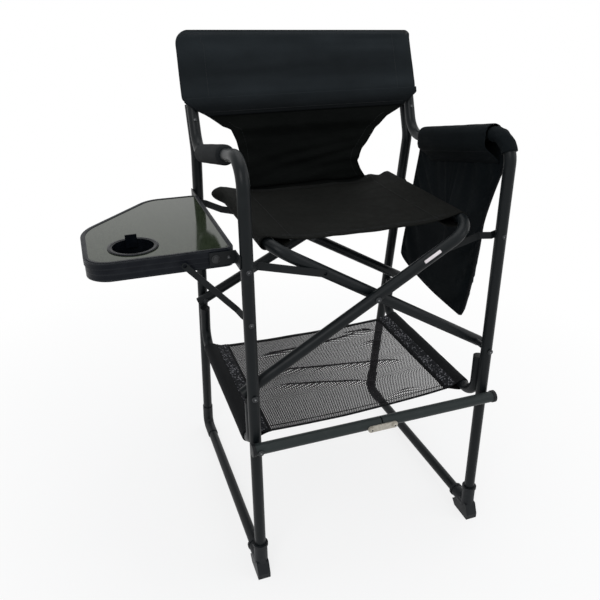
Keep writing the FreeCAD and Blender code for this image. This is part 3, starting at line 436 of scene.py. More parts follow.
CHARCOAL = paint("charcoal_powder_coat", (0.0040, 0.0056, 0.0066), (0.0092, 0.0116, 0.0128),
                 roughness=0.38)
SLATE = paint("slate_powder_coat", (0.0190, 0.0245, 0.0245), (0.0320, 0.0385, 0.0380),
              roughness=0.42)
STRAP_BLACK = paint("black_strap_coat", (0.0050, 0.0062, 0.0070), (0.0105, 0.0122, 0.0132),
                    roughness=0.46)
BOOT_PLASTIC = moulded("boot_plastic", (0.0085, 0.0100, 0.0115), (0.0190, 0.0215, 0.0230),
                       roughness=0.50)
PLUG_PLASTIC = moulded("plug_plastic", (0.0065, 0.0075, 0.0085), (0.0140, 0.0150, 0.0160),
                       roughness=0.45)
RIM_PLASTIC = ribbed_rim("table_rim_plastic", (0.0028, 0.0040, 0.0068), (0.0118, 0.0138, 0.0172))
CUP_PLASTIC = moulded("cup_plastic", (0.0030, 0.0040, 0.0058), (0.0075, 0.0090, 0.0118),
                      roughness=0.24, specular=0.09)
BOARD = gloss_board("table_board_gloss", (0.011, 0.018, 0.008), (0.040, 0.050, 0.031))
RIVET = bare_metal("dark_rivet", (0.012, 0.014, 0.016), (0.034, 0.037, 0.040),
                   roughness=0.42, metallic=0.4)
EYE = bare_metal("rivet_eye", (0.14, 0.145, 0.15), (0.26, 0.265, 0.27), roughness=0.35)
ZINC = bare_metal("bare_zinc_plate", (0.36, 0.335, 0.285), (0.54, 0.505, 0.44),
                  roughness=0.42, metallic=0.35)
BOLT_BLACK = bare_metal("black_bolt", (0.006, 0.007, 0.008), (0.015, 0.017, 0.019),
                        roughness=0.45, metallic=0.2)
LABEL_FILM = moulded("pale_label_film", (0.78, 0.72, 0.73), (0.90, 0.87, 0.87), roughness=0.45,
                     grain=0.004, depth=0.00002)
FOAM = foam("grip_foam", (0.0070, 0.0082, 0.0092), (0.0130, 0.0148, 0.0160))
SEAT_CANVAS = canvas("seat_canvas", (0.0036, 0.0039, 0.0035), (0.0088, 0.0093, 0.0083))
# hem_z gives this canvas painted shadows of gathers and a painted highlight along its hem
BACK_CANVAS = canvas("back_canvas", (0.0014, 0.0021, 0.0026), (0.0195, 0.0243, 0.0276),
                     hem_z=0.966)
PANEL_CANVAS = canvas("panel_canvas", (0.0012, 0.0018, 0.0016), (0.0042, 0.0050, 0.0046))
BAG_CANVAS = canvas("bag_canvas", (0.0020, 0.0033, 0.0042), (0.0056, 0.0078, 0.0092),
                    pitch=0.0013)
TAPE = webbing("black_webbing", (0.0040, 0.0046, 0.0054), (0.0105, 0.0112, 0.0122))
# black knit with painted glints
GLINT_PAINTED_KNIT = glint_painted_knit("tray_glint_painted_knit", (0.006, 0.007, 0.009), (0.27, 0.27, 0.29))
MESH_CLOTH = open_mesh("tray_mesh", (0.010, 0.0095, 0.011), (0.020, 0.018, 0.020))
THREAD = stitch_thread("sewing_thread")


# ---- mesh tools

def add_piece(name, points, faces, finish, body, uvs=None):
    """One visible piece, riding on a body of the part where one is given."""
    mesh = bpy.data.meshes.new(name)
    mesh.from_pydata(points, [], faces)
    if uvs:
        layer = mesh.uv_layers.new(name="cloth")
        for loop in mesh.loops:
            layer.data[loop.index].uv = uvs[loop.vertex_index]
    mesh.materials.append(finish)
    for face in mesh.polygons:
        face.use_smooth = True
    mesh.update()
    piece = bpy.data.objects.new(name, mesh)
    bpy.context.scene.collection.objects.link(piece)
    if body:
        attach(piece, body)
    return piece


def outward(piece):
    """Turn all faces to point out of a closed piece."""
    shape = bmesh.new()
    shape.from_mesh(piece.data)
    bmesh.ops.recalc_face_normals(shape, faces=shape.faces)
    shape.to_mesh(piece.data)
    shape.free()
    return piece


def sharp_edges(piece, degrees):
    piece.data.set_sharp_from_angle(angle=radians(degrees))
    return piece


def quads(rows, width, around=False, base=0):
    """Faces between rows of points, from point number base on."""
    faces = []
    for i in range(rows - 1):
        for j in range(width if around else width - 1):
            k = (j + 1) % width
            faces.append(tuple(base + n for n in (
                i * width + j, i * width + k, (i + 1) * width + k, (i + 1) * width + j)))
    return faces


def grid(rows, around=False):
    """Points, faces and metric cloth coordinates for rows of points."""
    width = len(rows[0])
    uvs = []
    length = 0.0
    for i, row in enumerate(rows):
        if i:
            length += (row[width // 2] - rows[i - 1][width // 2]).length
        across = 0.0
        for j, point in enumerate(row):
            if j:
                across += (point - row[j - 1]).length
            uvs.append((across, length))
    return [point for row in rows for point in row], quads(len(rows), width, around), uvs


def skin(name, rows, finish, body, around=False, caps=False):
    """A piece without thickness over rows of points, open at its ends or closed by caps."""
    points, faces, uvs = grid(rows, around)
    if caps:
        faces += end_caps(len(rows[0]), len(points))
    return add_piece(name, points, faces, finish, body, uvs)


def end_caps(width, number):
    """The two faces that close a tube of number points in rings of width points."""
    return [tuple(reversed(range(width))), tuple(range(number - width, number))]


def thicken(piece, thickness, offset=0.0):
    """Give a skin its thickness and write it into the mesh."""
    modifier = piece.modifiers.new("solidify", "SOLIDIFY")
    modifier.thickness = thickness
    modifier.offset = offset
    graph = bpy.context.evaluated_depsgraph_get()
    made = bpy.data.meshes.new_from_object(piece.evaluated_get(graph), depsgraph=graph)
    piece.modifiers.clear()
    piece.data = made
    return piece


def sheet_piece(name, rows, thickness, finish, body):
    """A sheet of cloth of even thickness from rows of points."""
    return thicken(skin(name, rows, finish, body), thickness)


def loft_piece(name, loops, finish, body, caps=True):
    """A closed skin over loops of points."""
    return outward(skin(name, loops, finish, body, around=True, caps=caps))


def turned_points(profile, place, axis, steps):
    """Points of rings about an axis: profile has (radius, height) pairs."""
    turn = axis.normalized().to_track_quat("Z", "Y").to_matrix()
    return [place + turn @ Vector((radius * cos(angle), radius * sin(angle), height))
            for radius, height in profile for angle in circle(steps)]


def turned_piece(name, profile, place, axis, finish, body, steps=32):
    """A closed skin turned about an axis."""
    points = turned_points(profile, place, axis, steps)
    faces = quads(len(profile), steps, around=True) + end_caps(steps, len(points))
    return sharp_edges(outward(add_piece(name, points, faces, finish, body)), 50)


STITCH = 0.0042
STITCH_STEP = STITCH + 0.0018
STITCH_SIDES = 5
STITCH_RADIUS = 0.00035
STITCH_ENDS = ((0.0, 0.25), (0.25, 1.0), (0.75, 1.0), (1.0, 0.25))


def stitched_line(name, path, body):
    """A row of short threads along a path of points."""
    walked = [0.0]
    for first, second in zip(path, path[1:]):
        walked.append(walked[-1] + (second - first).length)

    def spot(distance):
        for k in range(len(path) - 1):
            if distance <= walked[k + 1]:
                share = (distance - walked[k]) / max(walked[k + 1] - walked[k], 1e-9)
                return path[k].lerp(path[k + 1], share)
        return path[-1]

    points = []
    faces = []
    start = 0.0
    while start + STITCH < walked[-1]:
        first = spot(start)
        last = spot(start + STITCH)
        run = (last - first).normalized()
        side = run.orthogonal().normalized()
        other = run.cross(side)
        faces += quads(len(STITCH_ENDS), STITCH_SIDES, around=True, base=len(points))
        for share, size in STITCH_ENDS:
            for angle in circle(STITCH_SIDES):
                push = swing(side, other, angle)
                points.append(first.lerp(last, share) + push * STITCH_RADIUS * size)
        start += STITCH_STEP
    return add_piece(name, points, faces, THREAD, body)


def lifted(points, x=0.0, y=0.0, z=0.0):
    """The same points, moved off the cloth they lie on."""
    return [point + Vector((x, y, z)) for point in points]


CLOTH_STIFFNESS = 15.0


def drape(piece, rows, held, frames, gravity, cap, mass=0.25, shrink=0.0, bend=0.6):
    """Let a skin settle as cloth, and return its rows of points as they lie then.

    The cloth is held where held(point) is near 1, and no point moves over cap.
    """
    before = [vertex.co.copy() for vertex in piece.data.vertices]
    pins = piece.vertex_groups.new(name="held")
    for index, point in enumerate(before):
        pins.add([index], held(point), "REPLACE")
    modifier = piece.modifiers.new("cloth", "CLOTH")
    for setting, value in (
        ("quality", 6), ("mass", mass), ("tension_stiffness", CLOTH_STIFFNESS),
        ("compression_stiffness", CLOTH_STIFFNESS), ("shear_stiffness", CLOTH_STIFFNESS / 2),
        ("bending_stiffness", bend), ("vertex_group_mass", "held"), ("pin_stiffness", 1.0),
        ("shrink_min", shrink),
    ):
        setattr(modifier.settings, setting, value)
    modifier.settings.effector_weights.gravity = gravity
    modifier.collision_settings.use_collision = False
    scene = bpy.context.scene
    modifier.point_cache.frame_start = 1
    modifier.point_cache.frame_end = frames
    for number in range(1, frames + 1):
        scene.frame_set(number)
    graph = bpy.context.evaluated_depsgraph_get()
    settled = [vertex.co.copy() for vertex in piece.evaluated_get(graph).data.vertices]
    piece.modifiers.remove(modifier)
    for vertex, start, end in zip(piece.data.vertices, before, settled):
        move = end - start
        if move.length > cap:
            move = move.normalized() * cap
        vertex.co = start + move
    scene.frame_set(1)
    piece.data.update()
    width = len(rows[0])
    points = [vertex.co.copy() for vertex in piece.data.vertices]
    return [points[i * width:(i + 1) * width] for i in range(len(rows))]


# ---- frame, straps and fittings

def both(*names):
    return [f"{side}_{name}" for name in names for side in ("left", "right")]


def dress_frame():
    """Give the CAD pieces their finishes and smooth their round walls."""
    finishes = (
        (CHARCOAL, both("side_tube", "rear_leg", "base_rail", "tray_rail")),
        (CHARCOAL, ["outer_scissor_tube", "inner_scissor_tube"]),
        (SLATE, ["footrest_left_bar", "footrest_right_bar"]),
        (STRAP_BLACK, both("front_link", "rear_link")),
        (STRAP_BLACK, ["table_front_strut", "table_rear_strut"]),
        (STRAP_BLACK, ["table_front_bracket", "table_rear_bracket"]),
        (BOOT_PLASTIC, both("front_boot", "rear_elbow")),
        (PLUG_PLASTIC, both("tube_plugs") + ["outer_scissor_plugs", "inner_scissor_plugs"]),
        (PLUG_PLASTIC, ["scissor_spacers", "footrest_left_cap", "footrest_right_cap"]),
        (RIVET, both("scissor_pins", "link_pins")),
        (RIVET, ["scissor_centre_pins", "footrest_leg_pin", "table_strut_pins"]),
        (BOLT_BLACK, ["table_bolts"]),
        (ZINC, ["footrest_plate_pins", "footrest_hinge_plate"]),
        (RIM_PLASTIC, ["table_rim"]),
        (BOARD, ["table_top"]),
        (CUP_PLASTIC, ["cup_holder", "cup_tab"]),
    )
    for finish, nodes in finishes:
        for node in nodes:
            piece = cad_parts[node]
            piece.data.materials.clear()
            piece.data.materials.append(finish)
            for face in piece.data.polygons:
                face.use_smooth = True
            sharp_edges(piece, 35)


def rivet_head(name, place, axis, body, radius=0.0052, height=0.0022):
    """Domed hollow rivet with a bright dimple in its middle."""
    dome = [(radius, -0.0004), (radius, height * 0.25), (radius * 0.86, height * 0.72),
            (radius * 0.60, height), (radius * 0.42, height * 0.92),
            (radius * 0.34, height * 0.45)]
    turned_piece(name, dome, place, axis, RIVET, body)
    eye = [(radius * 0.33, height * 0.30), (radius * 0.30, height * 0.55), (0.0003, height * 0.70)]
    turned_piece(name + "_eye", eye, place, axis, EYE, body, steps=20)


def rivets():
    """Heads on the front and rear of the legs and uprights, where links and struts are held."""
    lean = Vector((0, -cos(RECLINE_SLOPE), sin(RECLINE_SLOPE)))
    for side, x in (("left", -SIDE), ("right", SIDE)):
        body = f"{side}_frame"
        front = at(x, front_leg_y(LINK_Z) - TUBE_RADIUS, LINK_Z)
        rear = at(x, rear_leg_y(LINK_Z) + TUBE_RADIUS + 0.0005, LINK_Z)
        rivet_head(f"{side}_link_rivet", front, -REAR, body)
        rivet_head(f"{side}_rear_link_rivet", rear, REAR, body)
        knee = at(x, upright_y(KNEE_RIVET_Z), KNEE_RIVET_Z)
        small = (0.0045, 0.0020)
        rivet_head(f"{side}_upright_rivet", knee + lean * TUBE_RADIUS, lean, body, *small)
        rivet_head(f"{side}_knee_rivet", knee - lean * (3 * TUBE_RADIUS + 0.0001), -lean, body,
                   *small)
    front = at(-SIDE, front_leg_y(STRUT_Z) - TUBE_RADIUS, STRUT_Z)
    rivet_head("left_strut_rivet", front, -REAR, "left_frame")


def pin_eyes():
    """Bright dimples in the middle of the CAD pins' front heads."""
    dome = [(0.0062, -0.0002), (0.0058, 0.0008), (0.0040, 0.0016), (0.0022, 0.0014)]
    eye = [(0.0022, 0.0012), (0.0016, 0.0018), (0.0003, 0.0020)]
    for name, node, body in (
        ("left_scissor_eye", "left_scissor_pins", "left_frame"),
        ("right_scissor_eye", "right_scissor_pins", "right_frame"),
        ("centre_eye", "scissor_centre_pins", "outer_scissor"),
        ("footrest_eye", "footrest_leg_pin", "left_frame"),
    ):
        low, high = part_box(node)
        place = Vector(((low.x + high.x) / 2, low.y, (low.z + high.z) / 2))
        turned_piece(name + "_dome", dome, place, -REAR, RIVET, body)
        turned_piece(name, eye, place, -REAR, EYE, body, steps=20)


def plate_rivets():
    """Heads of the two rivets in the footrest's hinge plate."""
    head = [(0.0046, -0.0004), (0.0046, 0.0008), (0.0034, 0.0016)]
    eye = [(0.0022, 0.0010), (0.0018, 0.0019), (0.0004, 0.0017)]
    low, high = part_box("footrest_plate_pins")
    radius = (high.z - low.z) / 2
    for side, x in (("left", low.x + radius), ("right", high.x - radius)):
        place = Vector((x, low.y - 0.0002, (low.z + high.z) / 2))
        turned_piece(f"plate_{side}_rivet", head, place, -REAR, ZINC, "footrest_hinge", steps=24)
        turned_piece(f"plate_{side}_rivet_eye", eye, place, -REAR, RIVET, "footrest_hinge",
                     steps=16)


LABEL_X = 0.106
LABEL_LENGTH = 0.041


def scissor_label():
    """A plain pale strip stuck on the front of the outer scissor tube."""
    run = Vector((cos(SCISSOR_SLOPE), 0, sin(SCISSOR_SLOPE)))
    up = Vector((-sin(SCISSOR_SLOPE), 0, cos(SCISSOR_SLOPE)))
    start = at(LABEL_X, front_leg_y(SCISSOR_Z) + 0.0265,
               SCISSOR_Z + (LABEL_X + SIDE) * tan(SCISSOR_SLOPE))

    def spot(reach, degrees):
        return start + run * reach + swing(-REAR, up, radians(degrees)) * (TUBE_RADIUS + 0.0003)

    rows = surface(spread(0, LABEL_LENGTH, 8), spread(12, 42, 6), spot)
    sheet_piece("scissor_label_strip", rows, 0.0003, LABEL_FILM, "outer_scissor")


# ---- foam grips

GRIP_START = -0.112
GRIP_RADIUS = 0.0200


def arm_grip(side, sign, length):
    """Foam tube with rounded ends, slightly lumpy and pinched at its ends."""
    span = length * cos(ARM_SLOPE)
    loops = []
    for share in spread(0, 1, 46):
        edge = min(share, 1 - share) * span
        pinch = 0.0042 * (1 - ease(0, 0.007, edge)) + 0.0006 * (1 - ease(0, 0.03, edge))
        y = GRIP_START + share * span
        centre = at(sign * SIDE, y, arm_z(y))
        loop = []
        for angle in circle(40):
            push = swing(RIGHT, ARM_UP, angle)
            lump = 0.0004 * ripple(centre + push * 0.02, 0.03, sign)
            loop.append(centre + push * (GRIP_RADIUS - pinch + lump))
        loops.append(loop)
    piece = loft_piece(f"{side}_foam_grip", loops, FOAM, f"{side}_frame")
    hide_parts(f"{side}_arm_grip")


# ---- back

BAND_HALF = 0.2965
BAND_TOP = 1.137
BAND_LOW = 0.9865
BAND_FRONT_LOW = 0.9600
BAND_HEM_Z = BAND_TOP - 0.014
BAND_SEAM_X = 0.238
POST_WIDTH = 0.019
LOW_CORNER = 0.012
LEFT_CORNER = 0.034
RIGHT_CORNER = 0.014
PANEL_LOW_Y = 0.193
PANEL_LEFT = [
    (0.760, 0.190), (0.775, 0.186), (0.800, 0.176), (0.820, 0.172), (0.850, 0.172),
    (0.876, 0.175), (0.900, 0.181), (0.928, 0.194), (0.934, 0.212), (0.954, 0.239),
    (0.968, 0.260),
]
PANEL_RIGHT = [
    (0.760, 0.186), (0.773, 0.173), (0.795, 0.153), (0.811, 0.141), (0.832, 0.132),
    (0.847, 0.135), (0.876, 0.156), (0.906, 0.177), (0.934, 0.207), (0.945, 0.229),
    (0.958, 0.254), (0.970, 0.260),
]
HEM_EDGE = [(0.960, 0.246), (0.970, 0.266), (0.980, 0.281), (0.990, 0.2955)]


def band_out(x, z):
    """How far the band's front stands before the uprights' middle line."""
    taut = 0.0165 - 0.0035 * (1 - (x / SIDE) ** 2) * ease(1.13, 1.05, z)
    wrinkle = 0.0024 * ripple((x * 0.55, 0, z * 2.2), 0.055, 3)
    wrinkle += 0.0018 * ripple((x * 0.25, 0, z * 4.0), 0.06, 8)
    wrinkle += 0.0007 * ripple((x, 0, z * 0.5), 0.018, 21)
    return taut + wrinkle * (1 - hump(abs(x), SIDE, POST_WIDTH))


def back_front_y(x, z):
    """Front face of the band, which lies along the uprights."""
    return upright_y(z) - band_out(x, z) * sqrt(1 + RECLINE * RECLINE)


def band_z(x, z):
    """The band's top edge comes down a little towards the bag side."""
    drop = 0.0115 * (x / BAND_HALF + 1) / 2
    return BAND_LOW + (z - BAND_LOW) * (1 - drop / (BAND_TOP - BAND_LOW))


def rounding(distance, radius):
    """How far a rounded corner lies in from the square one."""
    reach = radius - min(max(distance, 0.0), radius)
    return radius - sqrt(max(radius * radius - reach ** 2, 0.0))


def band_edge(z, radius):
    """Half width of the band at a height: rounded at the top, square below."""
    edge = BAND_HALF + 0.0025 * ease(1.12, 1.00, z)
    return edge - rounding(BAND_TOP - z, radius) - rounding(z - 0.986, LOW_CORNER)


def back_band():
    """Two layers of canvas round the uprights, closed along the top."""
    levels = 44
    depth = Vector((0, cos(RECLINE_SLOPE), -sin(RECLINE_SLOPE)))
    front_rows = []
    loops = []
    for rise in spread(0, 1, levels):
        z = mix(BAND_LOW, BAND_TOP - 0.0004, 1 - (1 - rise) ** 1.25)
        top = 1 - ease(0.0, 0.022, BAND_TOP - z)  # 1 where the layers close along the top
        front = []
        rear = []
        for across in spread(-1, 1, 96):
            edge = band_edge(z, LEFT_CORNER if across < 0 else RIGHT_CORNER)
            x = edge * sin(pi / 2 * across)
            rim = sqrt(max(0.0, 1 - (abs(x) / edge) ** 26))  # 0 where they close at the sides
            x -= 0.0060 * ease(0.18, BAND_HALF, x) * (1 - 0.5 * top)
            height = band_z(x, z)
            axis = at(x, upright_y(height), height)
            seam = 0.0010 * hump(abs(x), BAND_SEAM_X, 0.0022)
            hem = 0.0009 * hump(z, BAND_HEM_Z, 0.0022)
            out = (band_out(x, z) - seam - hem) * (1 - 0.85 * top * top)
            back = -0.0085 + (0.0085 + 0.0168) * hump(abs(x), SIDE, POST_WIDTH)
            back = mix(back, -0.004, top * top)
            middle = (back - out) / 2
            front.append(axis + depth * mix(middle, -out, rim))
            rear.append(axis + depth * mix(middle, back, rim))
        front_rows.append(front)
        loops.append(front + list(reversed(rear[1:-1])))
    piece = loft_piece("back_band_cloth", loops, BACK_CANVAS, "left_frame")
    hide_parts("back_band")
    squash_with_fold(piece)
    lines = [[row[nearest(row, x)] for row in front_rows[:levels - 3]]
             for x in (-BAND_SEAM_X, BAND_SEAM_X)]
    lines.append(front_rows[nearest_height(front_rows, BAND_HEM_Z)][8:-8])
    for number, line in enumerate(lines):
        line = [point - depth * 0.0004 for point in line]
        squash_with_fold(stitched_line(f"band_stitches_{number}", line, "left_frame"))
    band_hem()


def band_hem():
    """The band's front runs on below its rear, with slanting corners and a rolled lower edge."""

    def spot(z, across):
        x = min(along(HEM_EDGE, z) * across, 0.2905)
        roll = 0.0016 * (1 - ease(0.0, 0.006, z - BAND_FRONT_LOW))
        return at(x, back_front_y(x, z) - 0.0007 - roll, z)

    rows = surface(spread(BAND_FRONT_LOW, 0.9990, 14), spread(-1, 1, 96), spot)
    hem = sheet_piece("back_band_hem", rows, 0.0016, BACK_CANVAS, "left_frame")
    squash_with_fold(hem)
    line = lifted(rows[3][2:-2], y=-0.0013)
    squash_with_fold(stitched_line("band_hem_stitches", line, "left_frame"))


def nearest(row, x):
    return min(range(len(row)), key=lambda k: abs(row[k].x - CHAIR_X - x))


def nearest_height(rows, z):
    return min(range(len(rows)), key=lambda k: abs(rows[k][len(rows[k]) // 2].z - z))


def squash_with_fold(piece, x=-SIDE):
    """Give the piece a mesh of its own."""
    at(x, PANEL_LOW_Y, 0)
    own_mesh(piece)


def squash_behind_scissor(piece):
    squash_with_fold(piece)


def panel_y(x, z):
    """The lower panel hangs from the band's hem to the rear of the seat."""
    low = PANEL_LOW_Y + 0.05 * (z - 0.775)
    high = back_front_y(x, z) + 0.0022
    return mix(low, high, ease(0.900, 0.965, z))


def back_panel():
    """Canvas panel with a narrow waist, sewn under the band."""

    def spot(z, share):
        x = mix(-along(PANEL_LEFT, z), along(PANEL_RIGHT, z), share)
        pull = (2 * share - 1) ** 2
        belly = 0.007 * (1 - pull) * ease(0.96, 0.90, z) * ease(0.775, 0.83, z)
        fold = 0.0050 * ripple((x * 0.20, 0, z * 1.7 - x * 0.25), 0.030, 5) * ease(0.93, 0.84, z)
        crease = 0.0018 * ripple((x + z * 0.8, 0, z), 0.03, 11) * ease(0.97, 0.93, z)
        curl = 0.004 * ease(0.74, 1.0, pull) * ease(0.95, 0.90, z)
        return at(x, panel_y(x, z) + belly + fold + crease - curl, z)

    rows = surface(spread(0.761, 0.994, 66), spread(0, 1, 64), spot)
    piece = skin("back_panel_cloth", rows, PANEL_CANVAS, "left_frame")
    rows = drape(piece, rows, lambda p: 1.0 if p.z > 0.950 or p.z < 0.785 else 0.0, frames=14,
                 gravity=0.6, cap=0.008)
    thicken(piece, 0.0018)
    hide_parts("back_panel")
    squash_behind_scissor(piece)
    for side, column in (("left", 4), ("right", -5)):
        line = lifted([row[column] for row in rows[5:-14]], y=-0.0013)
        squash_behind_scissor(stitched_line(f"panel_{side}_edge_stitches", line, "left_frame"))


# ---- seat

SEAT_FRONT = -0.170
SEAT_REAR = 0.188
SEAT_STEPS = 58
SEAT_STITCHES = slice(26, -26)


def seat_profile(y):
    """Section of the seat across the chair: sleeve round the left rail, web, right sleeve."""
    radius = TUBE_RADIUS + 0.0021
    sag = 0.020 - 0.003 * ease(-0.05, SEAT_FRONT, y) - 0.004 * ease(0.08, SEAT_REAR, y)
    sleeve = []  # the lip under the web, then half round the rail and up
    for share in spread(0, 1, 6):
        droop = 0.004 * sin(pi * share)
        sleeve.append((-RAIL_X + 0.052 * (1 - share),
                       RAIL_Z - radius + 0.011 * (1 - share) ** 2 - droop))
    for angle in map(radians, spread(-90, -270, 16)[1:]):
        sleeve.append((-RAIL_X + radius * cos(angle), RAIL_Z + radius * sin(angle)))
    web = [(x, RAIL_Z + radius - sag * (1 - (x / RAIL_X) ** 2))
           for x in spread(-RAIL_X, RAIL_X, 56)[1:-1]]
    return sleeve + web + [(-x, z) for x, z in reversed(sleeve)]


def seat():
    """Canvas sling with a sleeve along each rail, sagging between them."""
    rows = []
    for y in spread(SEAT_FRONT, SEAT_REAR, SEAT_STEPS):
        section = seat_profile(y)
        ear = ease(0.128, 0.180, y)
        last = len(section) - 1
        row = []
        for j, (x, z) in enumerate(section):
            web = ease(20, 32, j) * ease(last - 20, last - 32, j)
            fold = 0.0024 * ripple((x * 0.30, y * 2.2, 0), 0.04, 2) * ease(-0.02, 0.12, y)
            fold += 0.0010 * ripple((x, y * 1.4, 0), 0.045, 6)
            fold += 0.011 * ear * hump(x, 0.170, 0.022)
            if x < -RAIL_X:
                x = -RAIL_X + (x + RAIL_X) * (1 + 1.05 * ear)
                z = RAIL_Z + (z - RAIL_Z) * (1 + 0.10 * ear)
            row.append(at(x, y, z + fold * web))
        rows.append(row)
    piece = skin("seat_cloth", rows, SEAT_CANVAS, None)
    span = RAIL_X - 0.010
    rows = drape(piece, rows, lambda p: 1.0 if abs(p.x - CHAIR_X) > span or p.z < RAIL_Z else 0.0,
                 frames=14, gravity=0.8, cap=0.006)
    thicken(piece, 0.0022, offset=-1.0)
    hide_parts("seat_sling")
    blend_seat(piece)
    lines = []
    for depth in (0.012, 0.019):
        i = round(depth / (SEAT_REAR - SEAT_FRONT) * SEAT_STEPS)
        lines.append((f"front_stitches_{len(lines)}", rows[i][SEAT_STITCHES]))
        lines.append((f"rear_stitches_{len(lines)}", rows[-1 - i][SEAT_STITCHES]))
    for side, column in (("left", 29), ("right", -30)):
        lines.append((f"{side}_sleeve_stitches", [row[column] for row in rows]))
    for name, line in lines:
        blend_seat(stitched_line(f"seat_{name}", lifted(line, z=0.0006), None))


def blend_seat(piece):
    """Write the piece's place into its mesh. The left rail belongs to the inner scissor tube and
    the right rail to the outer one, but the piece rides on neither.
    """
    at(-RAIL_X + 0.02, 0, RAIL_Z)
    at(RAIL_X - 0.02, 0, RAIL_Z)
    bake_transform(piece)


# ---- mesh tray

TRAY_REAR = 0.204
SLEEVE_IN = 0.052
TAPE_LIFT = 0.0012
TRAY_FOLDS = [
    (0.126, 0.08, -0.20, 0.20),
    (0.176, -0.20, 0.06, 0.22),
    (0.088, -0.02, 0.08, 0.22),
    (0.006, -0.20, -0.22, 0.22),
    (-0.070, -0.20, -0.20, 0.10),
    (-0.166, 0.06, 0.05, 0.20),
]


def tray_front(x):
    """The front edge runs a little slanting."""
    return -0.188 + 0.031 * x


def tray_height(x, y):
    """The mesh sags a little and is gathered in narrow folds across the chair."""
    hang = max(0.0, 1 - (x / (SIDE - SLEEVE_IN)) ** 2)
    fold = 0.0
    for place, tilt, left, right in TRAY_FOLDS:
        line = place + tilt * x + 0.003 * sin(14 * x + place * 40)
        reach = ease(left, left + 0.08, x) * ease(right, right - 0.08, x)
        fold += 0.0125 * reach * hump(y, line, 0.0062)
    fold += 0.0012 * ripple((x * 0.5, y * 2.4, 0), 0.04, 4)
    return TRAY_Z - (0.005 + 0.003 * ease(-0.10, -0.19, y)) * hang + fold * ease(0.0, 0.2, hang)


def gather_between_sleeves(piece):
    squash_with_fold(piece, SLEEVE_IN - SIDE)


def mesh_tray():
    """See-through mesh with a knitted sleeve along each rail and tape along both ends."""
    half = SIDE - SLEEVE_IN + 0.004

    def spot(share, x):
        y = mix(tray_front(x), TRAY_REAR, share)
        return at(x, y, tray_height(x, y))

    rows = surface(spread(0, 1, 150), spread(-half, half, 64), spot)
    piece = skin("tray_mesh", rows, MESH_CLOTH, "left_frame")
    thicken(piece, 0.0002)
    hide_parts("mesh_tray")
    gather_between_sleeves(piece)
    tray_sleeve("left", -1)
    tray_sleeve("right", 1)
    seam = [[point.lerp(other, share) for point, other in zip(rows[6], rows[7])]
            for share in (0.0, 0.7)]
    for name, tape, thickness in (("front_tape", rows[0:3], 0.0018), ("front_seam", seam, 0.0012),
                                  ("rear_tape", rows[-5:], 0.0018)):
        tape = [lifted(row, z=TAPE_LIFT) for row in tape]
        gather_between_sleeves(sheet_piece(f"tray_{name}", tape, thickness, TAPE, "left_frame"))


def tray_sleeve(side, sign):
    """Sleeve round a tray rail, with a strip of knit with painted glints beside it that joins the
    mesh.
    """
    radius = TUBE_RADIUS + 0.0022
    rows = []
    strip = []
    for y in spread(tray_front(sign * SIDE) + 0.004, TRAY_REAR + 0.002, 72):
        inner = tray_height(SIDE - SLEEVE_IN, y) - TRAY_Z
        row = []  # from the mesh out over the rail, round it, and back in under it
        for share in spread(0, 1, 8):
            x = SIDE - SLEEVE_IN * (1 - share)
            height = mix(inner + 0.0012, radius, ease(0.35, 1, share))
            height += 0.0012 * ripple((x, y, 0), 0.02, 7) * (1 - share)
            row.append(at(sign * x, y, TRAY_Z + height))
        strip.append(lifted(row[1:6], z=TAPE_LIFT))
        for k in range(1, 17):
            angle = radians(90 - 180 * k / 16)
            loose = radius + 0.0005 * ripple((k * 0.01, y, 0), 0.03, 9)
            row.append(at(sign * (SIDE + loose * cos(angle)), y,
                          TRAY_Z + loose * sin(angle)))
        for share in spread(0, 1, 7)[1:]:
            height = mix(-radius, inner - 0.0016, ease(0, 1, share))
            row.append(at(sign * (SIDE - SLEEVE_IN * share), y, TRAY_Z + height))
        rows.append(row if sign > 0 else list(reversed(row)))
    piece = sheet_piece(f"{side}_tray_sleeve", rows, 0.0014, TAPE, f"{side}_frame")
    # strip of black knit with painted glints
    sheet_piece(f"{side}_tray_glint_painted_strip", strip, 0.0012, GLINT_PAINTED_KNIT, f"{side}_frame")


# ---- hanging bag

BAG_EDGE = list(map(Vector, (
    (0.172, 0.890), (0.150, 0.899), (0.000, 0.930), (-0.120, 0.954), (-0.179, 0.944),
    (-0.206, 0.922), (-0.200, 0.902), (-0.176, 0.872), (-0.138, 0.755), (-0.128, 0.660),
    (-0.104, 0.516), (-0.094, 0.492), (-0.080, 0.490), (0.047, 0.496), (0.158, 0.512),
    (0.216, 0.528), (0.226, 0.545), (0.208, 0.640), (0.187, 0.755), (0.168, 0.850),
)))
BAG_IN = SIDE + 0.0216
BAG_DEPTH = 0.031
BAG_SEAM_X = BAG_IN + 0.0045
BAG_RINGS = 20
FLAP_FRONT = -0.118
FLAP_REAR = 0.122
FLAP_LOW = 0.788
TOP_SLEEVE_FRONT = -0.168
TOP_SLEEVE_REAR = 0.104


